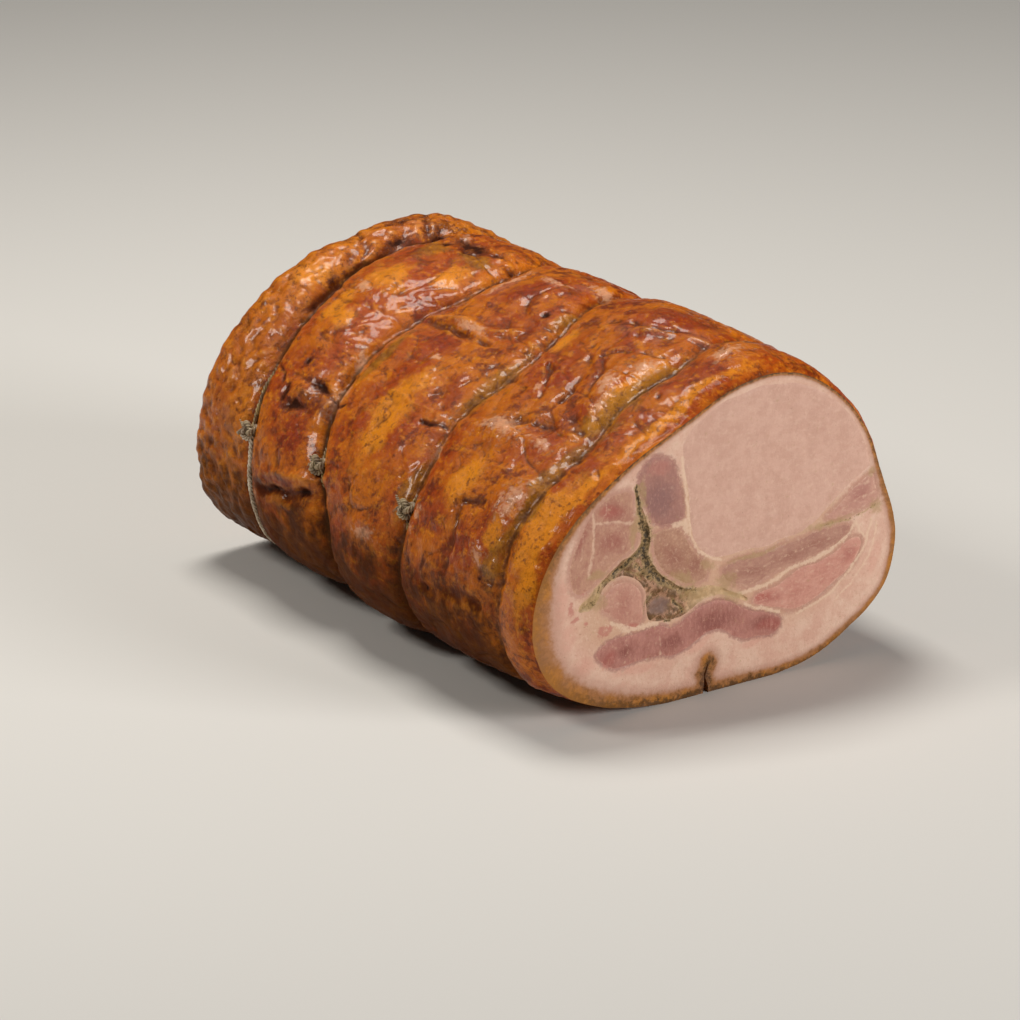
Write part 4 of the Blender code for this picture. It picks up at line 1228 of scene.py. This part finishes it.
def cord(path, up, closed, strand_radius, pitch, sides):
    """Points and quads of three strands wound round a path, in millimetres."""
    ahead = np.roll(path, -1, axis=0) - np.roll(path, 1, axis=0)
    if not closed:
        ahead[0], ahead[-1] = path[1] - path[0], path[-1] - path[-2]
    ahead /= np.linalg.norm(ahead, axis=1)[:, None]
    side = np.cross(ahead, up)
    side /= np.linalg.norm(side, axis=1)[:, None]
    up = np.cross(side, ahead)
    run = np.concatenate([[0], np.cumsum(np.linalg.norm(np.diff(path, axis=0), axis=1))])
    if closed:
        pitch = run[-1] / round(run[-1] / pitch)
    points, faces = [], []
    count = len(path)
    ring = np.arange(sides)
    for strand in range(3):
        turn = 2 * math.pi * (run / pitch + strand / 3)
        out = side * np.cos(turn)[:, None] + up * np.sin(turn)[:, None]
        middle = path + out * strand_radius * 1.05
        across = np.cross(ahead, out)
        angle = 2 * math.pi * ring / sides
        round_out, round_across = np.cos(angle)[None, :, None], np.sin(angle)[None, :, None]
        tube = middle[:, None] + strand_radius * (out[:, None] * round_out + across[:, None] * round_across)
        start = len(points) * count * sides
        points.append(tube.reshape(-1, 3))
        for k in range(count if closed else count - 1):
            a, b = start + k * sides + ring, start + (k + 1) % count * sides + ring
            faces.append(np.stack([a, np.roll(a, -1), np.roll(b, -1), b], 1))
        if not closed:
            faces += [start + ring[None, ::-1], start + (count - 1) * sides + ring[None]]
    return np.vstack(points), [tuple(face) for block in faces for face in block.tolist()]


LOWEST_TWINE = 1.15


def tie_path(number):
    """Middle of the twine round the roll, with the outward direction."""
    girth = spaced(0, GIRTH, 0.9)
    along = tie_line(number, girth)
    point, normal = edge_at(girth)
    relief, _ = skin_relief(girth, along)
    kernel = np.hanning(9) / np.hanning(9).sum()
    relief = np.convolve(np.concatenate([relief[-4:], relief, relief[:4]]), kernel, "valid")
    shown = np.clip(round_girth(TIE_SHOWS[number], girth), 0, 1)
    if number > 0:
        shown = np.maximum(shown, np.exp(-(((girth - KNOT_GIRTH) / 9) ** 2)))
    depth = round_girth(TIE_DEPTHS[number], girth)
    lift = depth + BURIED - (LAST_LIFTED if number == LAST_TIE else LIFTED) * shown
    place = point + normal * (broad_swell(girth, along) + relief - lift)[:, None]
    place[:, 1] = np.maximum(place[:, 1], LOWEST_TWINE)
    path = np.stack([place[:, 0], along, place[:, 1]], 1)
    return path, np.stack([normal[:, 0], 0 * girth, normal[:, 1]], 1)


# %% [markdown]
# The knots sit on the left side. A trefoil curve pulled flat is a simple overhand knot, and two cut ends
# lie beside it.

# %% Knots and ties
KNOT_SIZE = 1.25
KNOT_PALENESS = 0.35
# The bare stretch of the last tie lies left of this X, between these heights.
BARE_X, BARE_LOW, BARE_HIGH = -40, 15, 72
KNOT_STRAND, TAIL_STRAND = 0.7, 0.5
TAILS = ((0.5, 7.0), (-0.7, 5.0))


def knot_cord(number):
    """Overhand knot with two tails on one tie."""
    girth = np.array([KNOT_GIRTH])
    along = tie_line(number, girth)
    point, normal = edge_at(girth)
    relief, _ = skin_relief(girth, along)
    out = np.array((normal[0, 0], 0, normal[0, 1]))
    lengthwise = np.array((0.0, 1.0, 0.0))
    across = np.cross(lengthwise, out)
    height = broad_swell(girth, along)[0] + relief[0] + 0.2
    middle = np.array((point[0, 0], along[0] + 1.2, point[0, 1])) + out * height
    t = np.linspace(0, 2 * math.pi, 120, endpoint=False)
    a = (np.sin(t) + 2 * np.sin(2 * t)) * KNOT_SIZE * 1.2
    b = (np.cos(t) - 2 * np.cos(2 * t)) * KNOT_SIZE
    c = -np.sin(3 * t) * KNOT_SIZE * 1.1
    path = middle + a[:, None] * lengthwise + b[:, None] * across + c[:, None] * out
    up = np.tile(out, (len(t), 1)) + 0.2 * np.stack([np.sin(t), np.cos(t), 0 * t], 1)
    parts = [cord(path, up, True, KNOT_STRAND, 4.5, 7)]
    for lean, reach in TAILS:
        s = np.linspace(0, 1, 30)
        line = middle + lengthwise * (2.0 + reach * s)[:, None] + across * (lean * reach * s**1.4)[:, None]
        line = line + out * (0.8 - 0.6 * s)[:, None]
        parts.append(cord(line, np.tile(out, (30, 1)), False, TAIL_STRAND, 4.0, 6))
    return parts


def join_parts(parts):
    """Points and faces of several cords as one mesh."""
    points, faces, start = [], [], 0
    for part_points, part_faces in parts:
        points.append(part_points)
        faces += [tuple(k + start for k in face) for face in part_faces]
        start += len(part_points)
    return np.vstack(points), faces


tie_pieces = []
for number in range(4):
    path, up = tie_path(number)
    radius = SWOLLEN_RADIUS if number == LAST_TIE else STRAND_RADIUS
    parts = [cord(path, up, True, radius, TWIST_PITCH, 7)]
    if number > 0:
        parts += knot_cord(number)
    points, faces = join_parts(parts)
    clean = np.zeros(len(points))
    clean[len(parts[0][0]) :] = KNOT_PALENESS
    if number == LAST_TIE:
        bare = (points[:, 0] < BARE_X) & (points[:, 2] > BARE_LOW) & (points[:, 2] < BARE_HIGH)
        clean[bare] = 1.0
    tie_pieces.append(make_piece(f"twine_{number + 1}", points, faces, {"clean": clean}))
    print(tie_pieces[-1].name, "has", len(faces), "faces")


# %% [markdown]
# ## Roast pork rind
# Rind browned for hours holds three layers: a skin of hard gelatine, the sugars and fat that coloured it,
# and a film of juice that makes it shine. The colour is mottled at every size, from patches three
# centimetres wide to specks. Brown juice and painted shade darken the hollows and the deep creases, the
# tops of the fine folds get a painted highlight, and the lower sides get painted shade. The pale films are
# partly, and the lilac streaks wholly, a painted sheen, and one golden patch is painted light. Roughness
# lies between 0.24 and 0.42, with a thin clear coat for the wet glints. Burnt creases, the grooves, the
# edge of the cut and the underside are duller, and the skin behind the last string is a little wetter.

# %% Material of the rind
def roast_rind():
    material, tree, shader = start_material("glossy_roast_pork_rind")
    broad = spots(tree, 30, 4, 0.6)
    middle = spots(tree, 10, 6, 0.7)
    streaks = spots(tree, 4.5, 5, 0.7, stretch=(1.0, 0.5, 1.0))
    small = spots(tree, 2.6, 5, 0.7)
    speck = spots(tree, 0.9, 3, 0.65)
    colour = lay_shade(tree, linear("#9E3E06"), broad, 0.38, 0.62, 1, "#C0660A")
    colour = lay_shade(tree, colour, middle, 0.5, 0.62, 0.85, "#742204")
    colour = lay_shade(tree, colour, streaks, 0.47, 0.34, 0.75, "#CE780C")
    # Golden caramel, and one patch of painted light.
    colour = tinted(tree, colour, "golden", middle, 1.6, 0.3, 0.8, 0.8, "#E28A14")
    colour = tinted(tree, colour, "reddened", middle, 1.6, 0.3, 0.8, 0.7, "#8C2A06")
    colour = tinted(tree, colour, "olive", middle, 1.6, 0.25, 0.85, 0.62, "#90640F")
    # Painted lilac sheen on the ridges.
    colour = tinted(tree, colour, "lilac", small, 1.0, 0.25, 0.9, 0.6, "#A25A48")
    colour = tinted(tree, colour, "far_band", middle, 1.6, 0.5, 1.1, 0.4, "#CC7C22")
    # Painted shade in the hollows, with brown juice in the broad ones, and a painted highlight on the fine
    # ridges.
    colour = lay_shade(tree, colour, "wide_hollow", 0.05, 0.8, 0.45, "#74400A")
    colour = lay_shade(tree, colour, "fine_hollow", 0.08, 0.8, 0.7, "#5C2606")
    colour = lay_shade(tree, colour, "fine_hollow", -0.15, -0.8, 0.35, "#DC9034")
    gathered = add_node(tree, "MapRange", SMOOTH, {"Value": middle, 1: 0.4, 2: 0.58, 3: 0.15}).outputs[0]
    specks = add_node(tree, "MapRange", SMOOTH, {"Value": small, 1: 0.5, 2: 0.63, 4: 0.8}).outputs[0]
    specks = add_node(tree, "Math", {"operation": "MULTIPLY"}, {0: specks, 1: gathered}).outputs[0]
    colour = add_node(tree, "Mix", COLOURS, {0: specks, 6: colour, 7: linear("#662A06")}).outputs[2]
    colour = lay_shade(tree, colour, small, 0.45, 0.34, 0.45, "#DB8E24")
    # Pale films of fat, partly a painted highlight of pink and white specks.
    colour = tinted(tree, colour, "pale_film", small, 3.2, 0.4, 1.0, 0.72, "#DCA27C")
    colour = lay_shade(tree, colour, speck, 0.6, 0.72, 0.5, "#40180A")
    # Painted shade on the lower sides of the roll.
    colour = tinted(tree, colour, "under_side", middle, 2.0, 0.0, 0.9, 0.86, "#422002")
    scorch = torn_mask(tree, "string_burn", small, 0.9)
    scorch = add_node(tree, "MapRange", SMOOTH, {"Value": scorch, 1: 0.15, 2: 0.8, 4: 0.85}).outputs[0]
    colour = add_node(tree, "Mix", COLOURS, {0: scorch, 6: colour, 7: linear("#40240A")}).outputs[2]
    # Burnt patches and painted shade in the deep creases, then char where the mask is strongest.
    colour = tinted(tree, colour, "burnt", small, 1.2, 0.1, 0.55, 0.7, "#5A2206")
    blackened = torn_mask(tree, "burnt", small, 1.4)
    blackened = add_node(tree, "MapRange", SMOOTH, {"Value": blackened, 1: 0.45, 2: 0.9, 4: 0.9}).outputs[0]
    colour = add_node(tree, "Mix", COLOURS, {0: blackened, 6: colour, 7: linear("#261008")}).outputs[2]
    colour = lay_shade(tree, colour, "seam_side", 0.2, 0.9, 0.85, "#7A4A22")
    tree.links.new(colour, shader.inputs["Base Color"])
    dry = add_node(tree, "Math", {"operation": "MAXIMUM"}, {0: blackened, 1: scorch}).outputs[0]
    for name, high, share in (("under_side", 0.9, 1), ("sliced_edge", 1, 0.5)):
        mask = add_node(tree, "Attribute", {"attribute_name": name}).outputs["Fac"]
        duller = add_node(tree, "MapRange", SMOOTH, {"Value": mask, 2: high, 4: share}).outputs[0]
        dry = add_node(tree, "Math", {"operation": "MAXIMUM"}, {0: dry, 1: duller}).outputs[0]
    rough = add_node(tree, "MapRange", SMOOTH, {"Value": small, 1: 0.3, 2: 0.7, 3: 0.24, 4: 0.42}).outputs[0]
    rough = add_node(tree, "Mix", {"data_type": "FLOAT"}, {0: dry, 2: rough, 3: 0.62}).outputs[0]
    far_band = add_node(tree, "Attribute", {"attribute_name": "far_band"}).outputs["Fac"]
    wetter = add_node(tree, "MapRange", SMOOTH, {"Value": far_band, 3: 1, 4: 0.65}).outputs[0]
    rough = add_node(tree, "Math", {"operation": "MULTIPLY"}, {0: rough, 1: wetter}).outputs[0]
    tree.links.new(rough, shader.inputs["Roughness"])
    for socket, wet, dull in (("Specular IOR Level", 0.28, 0.1), ("Coat Weight", 0.27, 0.04)):
        gloss = add_node(tree, "MapRange", SMOOTH, {"Value": dry, 2: 0.8, 3: wet, 4: dull}).outputs[0]
        tree.links.new(gloss, shader.inputs[socket])
    shader.inputs["Coat Roughness"].default_value = 0.12
    shader.inputs["IOR"].default_value = 1.38
    height = add_node(tree, "Math", {"operation": "MULTIPLY_ADD"}, {0: speck, 1: 0.5, 2: small}).outputs[0]
    bump = add_node(tree, "Bump", None, {"Strength": 0.8, "Distance": 0.0008, "Height": height})
    tree.links.new(bump.outputs[0], shader.inputs["Normal"])
    return material


# %% [markdown]
# ## Cut meat and fat
# The faces of the cut share one recipe with different colours. Lean fades to pale near its border, sinew
# and herbs lie over it, and fibres run as a faint grain. Wet cut meat is only half glossy, so roughness
# sits near 0.45 and there is no coat. The crumbly filling is duller still.

# %% Materials of the cut
def herb_overlay(tree, colour):
    """Olive stains and dark herb flecks over any colour of the cut."""
    fleck = spots(tree, 1.2, 4, 0.7)
    blot = spots(tree, 3.0, 4, 0.7)
    colour = tinted(tree, colour, "olive", blot, 1.6, 0.25, 0.9, 0.6, "#A08358")
    colour = tinted(tree, colour, "herb", blot, 1.6, 0.15, 0.5, 0.6, "#A58A5E")
    colour = tinted(tree, colour, "herb", fleck, 2.8, 0.4, 0.8, 0.85, "#6F5836")
    return tinted(tree, colour, "herb", fleck, 3.0, 0.78, 1.05, 0.95, "#33240C")


def wet_cut(tree, shader, colour, low, high):
    """Colour, uneven gloss and fine grain shared by every face of the cut."""
    tree.links.new(colour, shader.inputs["Base Color"])
    grain = spots(tree, 1.5, 4, 0.65)
    rough = add_node(tree, "MapRange", SMOOTH, {"Value": grain, 1: 0.3, 2: 0.7, 3: low, 4: high}).outputs[0]
    tree.links.new(rough, shader.inputs["Roughness"])
    bump = add_node(tree, "Bump", None, {"Strength": 0.5, "Distance": 0.0005, "Height": grain})
    tree.links.new(bump.outputs[0], shader.inputs["Normal"])
    shader.inputs["IOR"].default_value = 1.38


def lean_meat(name, colours, fade, stretch, grain):
    """Roast lean: mottled flesh, darker and redder patches, fibres, and a pale edge of this width in mm."""
    flesh, mottled, dark, red, edge = colours
    material, tree, shader = start_material(name)
    cloud = spots(tree, 7, 5, 0.68)
    torn = spots(tree, 2.8, 4, 0.7)
    fibre = spots(tree, 1.3, 4, 0.68, stretch=stretch)
    colour = lay_shade(tree, linear(flesh), cloud, 0.38, 0.62, 1, mottled)
    colour = tinted(tree, colour, "dark", torn, 1.5, 0.1, 1.05, 0.8, dark)
    colour = tinted(tree, colour, "red", cloud, 1.2, 0.25, 0.9, 0.7, red)
    colour = lay_shade(tree, colour, torn, 0.52, 0.68, 0.28, edge)
    colour = lay_shade(tree, colour, fibre, 0.5, 0.7, grain, edge)
    colour = lay_shade(tree, colour, fibre, 0.45, 0.3, grain, dark)
    colour = tinted(tree, colour, "edge", torn, 7.0, fade * 0.6, -0.8, 0.7, edge)
    colour = tinted(tree, colour, "pale", torn, 2.2, 0.15, 0.9, 0.75, "#CDA890")
    wet_cut(tree, shader, herb_overlay(tree, colour), 0.36, 0.55)
    return material


def pork_fat():
    material, tree, shader = start_material("soft_cooked_pork_fat")
    cloud = spots(tree, 10, 5, 0.65)
    torn = spots(tree, 2.8, 4, 0.7)
    streak = spots(tree, 1.6, 5, 0.7)
    colour = lay_shade(tree, linear("#C99E8A"), cloud, 0.38, 0.64, 1, "#D2AE99")
    colour = tinted(tree, colour, "pink", cloud, 1.2, 0.2, 0.9, 0.55, "#C68F7D")
    colour = lay_shade(tree, colour, "rim_mm", 16, 32, 0.7, "#BC9376")
    colour = tinted(tree, colour, "pink_mm", torn, 7.0, 3.4, 0.6, 0.85, "#AD7E6C")
    colour = tinted(tree, colour, "dark_mm", torn, 6.0, 2.2, 0.4, 0.85, "#9C6B60")
    colour = tinted(tree, colour, "red", torn, 2.0, 0.5, 0.9, 0.7, "#B06B5F")
    colour = lay_shade(tree, colour, streak, 0.51, 0.7, 0.4, "#B78570")
    colour = lay_shade(tree, colour, torn, 0.47, 0.34, 0.3, "#D8BBA4")
    colour = tinted(tree, colour, "cream", streak, 2.4, 0.3, 0.95, 0.8, "#D4B49A")
    colour = herb_overlay(tree, colour)
    colour = tinted(tree, colour, "rim", torn, 0.7, 1.7, 0.85, 0.6, "#A67A66")
    colour = tinted(tree, colour, "rim", torn, 0.7, 1.1, 0.6, 0.9, "#96602E")
    colour = tinted(tree, colour, "rim", cloud, 2.4, 0.75, 0.0, 0.85, "#B0701E")
    rim = torn_mask(tree, "rim", torn, 2.2)
    rim = add_node(tree, "MapRange", SMOOTH, {"Value": rim, 1: 0.75, 2: 0.05}).outputs[0]
    rim_dark = add_node(tree, "Attribute", {"attribute_name": "rim_dark"}).outputs["Fac"]
    rim = add_node(tree, "Math", {"operation": "MULTIPLY"}, {0: rim, 1: rim_dark}).outputs[0]
    colour = add_node(tree, "Mix", COLOURS, {0: rim, 6: colour, 7: linear("#53330F")}).outputs[2]
    colour = tinted(tree, colour, "seam", torn, 2.6, 0.3, 0.8, 0.85, "#8A5C36")
    colour = tinted(tree, colour, "seam", streak, 3.0, 0.5, 1.0, 0.85, "#4A2C16")
    wet_cut(tree, shader, colour, 0.34, 0.5)
    return material


def herb_filling():
    material, tree, shader = start_material("crumbly_herb_and_pork_filling")
    crumb = spots(tree, 4.6, 5, 0.72)
    small = spots(tree, 1.5, 4, 0.7)
    colour = lay_shade(tree, linear("#6A4A2A"), crumb, 0.44, 0.56, 1, "#A2785C")
    colour = lay_shade(tree, colour, small, 0.53, 0.62, 0.8, "#4E371E")
    colour = lay_shade(tree, colour, small, 0.43, 0.32, 0.65, "#CDAC8C")
    colour = lay_shade(tree, colour, "clump", 0.2, 0.7, 0.85, "#765A50")
    colour = tinted(tree, colour, "pale_crumb", crumb, 1.2, 0.2, 0.8, 0.85, "#C6A47E")
    wet_cut(tree, shader, herb_overlay(tree, colour), 0.5, 0.7)
    return material


# %% [markdown]
# ## The roasted end
# Here muscle and fat faced the heat of the oven. Both turned brown, the lean darker than the fat. The lean
# stands a little above the fat, and dark juice lies along the borders.

# %% Material of the roasted end
def roasted_crust(name, light, deep):
    material, tree, shader = start_material(name)
    cloud = spots(tree, 14, 6, 0.68)
    patch = spots(tree, 5, 5, 0.7)
    small = spots(tree, 2.2, 4, 0.68)
    colour = lay_shade(tree, linear(light), cloud, 0.4, 0.6, 1, deep)
    colour = lay_shade(tree, colour, patch, 0.5, 0.64, 0.7, "#5E2408")
    colour = lay_shade(tree, colour, patch, 0.47, 0.34, 0.5, "#C0741A")
    colour = tinted(tree, colour, "edge", patch, 9.0, 2.2, -1.0, 0.5, "#542408")
    colour = lay_shade(tree, colour, small, 0.52, 0.68, 0.6, "#4C1E08")
    colour = lay_shade(tree, colour, small, 0.45, 0.34, 0.35, "#D08A30")
    tree.links.new(colour, shader.inputs["Base Color"])
    rough = add_node(tree, "MapRange", SMOOTH, {"Value": small, 1: 0.3, 2: 0.7, 3: 0.32, 4: 0.52}).outputs[0]
    tree.links.new(rough, shader.inputs["Roughness"])
    shader.inputs["Coat Weight"].default_value = 0.18
    shader.inputs["Coat Roughness"].default_value = 0.15
    shader.inputs["IOR"].default_value = 1.38
    bump = add_node(tree, "Bump", None, {"Strength": 1.0, "Distance": 0.001, "Height": small})
    tree.links.new(bump.outputs[0], shader.inputs["Normal"])
    return material


# %% [markdown]
# ## Twine
# Cotton starts out white and soaks up fat and juice in the oven. Most of it ends brown like the skin. The
# knots are a little paler, and the stretch under the last knot stayed nearly bare. A mask painted on the
# cord says how pale each part is.

# %% Material of the twine
def cotton_twine():
    material, tree, shader = start_material("fat_soaked_cotton_twine")
    patchy = spots(tree, 5, 4, 0.6)
    lint = spots(tree, 0.5, 3, 0.6)
    browned = lay_shade(tree, linear("#5E4020"), patchy, 0.4, 0.62, 1, "#947A44")
    bare = lay_shade(tree, linear("#A8947A"), patchy, 0.38, 0.62, 1, "#DACBB4")
    clean = add_node(tree, "Attribute", {"attribute_name": "clean"}).outputs["Fac"]
    colour = add_node(tree, "Mix", COLOURS, {0: clean, 6: browned, 7: bare}).outputs[2]
    colour = lay_shade(tree, colour, lint, 0.5, 0.75, 0.5, "#4A3420")
    tree.links.new(colour, shader.inputs["Base Color"])
    shader.inputs["Roughness"].default_value = 0.55
    shader.inputs["Coat Weight"].default_value = 0.15
    shader.inputs["Coat Roughness"].default_value = 0.3
    return material


def pale_floor():
    material, tree, shader = start_material("matt_pale_floor")
    shader.inputs["Base Color"].default_value = linear("#CFCDC9")
    shader.inputs["Roughness"].default_value = 0.9
    return material


# %% [markdown]
# ## Dressing
# Each piece now gets its material and is tied to the body it moves with, here the whole roll. The solid
# whose place it takes is hidden.

# %% Give each piece its finish
rind = roast_rind()
fat = pork_fat()
filling = herb_filling()
crust_lean = roasted_crust("roasted_crust_of_lean", "#8E4410", "#6C2C0C")
crust_fat = roasted_crust("roasted_crust_of_fat", "#B4660E", "#96460C")
twine = cotton_twine()
# Each muscle's finish, slot, width of its pale edge in millimetres, and stretch of its fibres along X, Y, Z.
LEANS = {
    "loin_eye": ("pale_roast_pork_loin", "pale_loin", 0.6, (0.14, 1.0, 0.55)),
    "loin_cap": ("mauve_lean_of_the_loin_cap", "dark_lean", 1.0, (1.0, 1.0, 0.5)),
    "inner_muscle": ("brownish_inner_lean", "pink_lean", 1.3, (1.0, 1.0, 1.0)),
    "flank_muscle": ("mottled_flank_lean", "pink_lean", 1.4, (0.9, 1.0, 0.5)),
    "fillet": ("pink_lean_of_the_fillet", "pink_lean", 1.1, (1.0, 1.0, 1.0)),
    "upper_band": ("rosy_lean_band", "pink_lean", 1.0, (0.35, 1.0, 1.0)),
    "outer_band": ("bright_lean_band", "pink_lean", 1.1, (0.4, 1.0, 0.9)),
    "belly_band": ("dark_belly_lean", "dark_lean", 1.0, (1.0, 1.0, 0.35)),
    "side_wedge": ("rosy_side_lean", "pink_lean", 1.2, (0.4, 1.0, 0.9)),
}
# The colours of its flesh, its mottling, its dark patches, its red patches and its pale edge.
LEAN_COLOURS = {
    "loin_eye": ("#BE9482", "#C69D8B", "#BA8C7C", "#BE8B76", "#D3AF9C"),
    "loin_cap": ("#94665B", "#9D6E62", "#805854", "#A96D61", "#B58776"),
    "inner_muscle": ("#9F725C", "#A87C65", "#8E5A4A", "#9E6250", "#C69E82"),
    "flank_muscle": ("#A47360", "#AE806A", "#925449", "#9E5449", "#C59B80"),
    "fillet": ("#AE7A69", "#B68472", "#A36B5C", "#AB6356", "#C99F88"),
    "upper_band": ("#A07161", "#AA7D6B", "#936152", "#9C6055", "#C39C84"),
    "outer_band": ("#B67C6C", "#BE8776", "#A26155", "#A3554A", "#CEA28E"),
    "belly_band": ("#9E675B", "#A87165", "#7C423A", "#984F46", "#C08B7A"),
    "side_wedge": ("#B07F70", "#B88977", "#A06A5F", "#A76357", "#CCA48F"),
}
LOIN_GRAIN, OTHER_GRAIN = 0.2, 0.38

for name, piece in meat_pieces.items():
    if name == "herb_stuffing":
        surface, slot = filling, "herb_filling"
    else:
        finish, slot, fade, stretch = LEANS[name]
        grain = LOIN_GRAIN if name == "loin_eye" else OTHER_GRAIN
        surface = lean_meat(finish, LEAN_COLOURS[name], fade, stretch, grain)
    piece.data.materials.append(surface)
    piece.data.materials.append(crust_lean)
    piece.data.polygons.foreach_set("material_index", crust_flags[name])
    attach(piece, "root")
    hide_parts(name)

fat_and_rind = [(piece, rind) for piece in skin_pieces] + [(cut_fat, fat), (end_fat, crust_fat)]
for piece, surface in fat_and_rind:
    piece.data.materials.append(surface)
    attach(piece, "root")
    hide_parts("fat_and_rind")

for number, piece in enumerate(tie_pieces, 1):
    piece.data.materials.append(twine)
    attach(piece, "root")
    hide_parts(f"string_tie_{number}")

floor.data.materials.append(pale_floor())
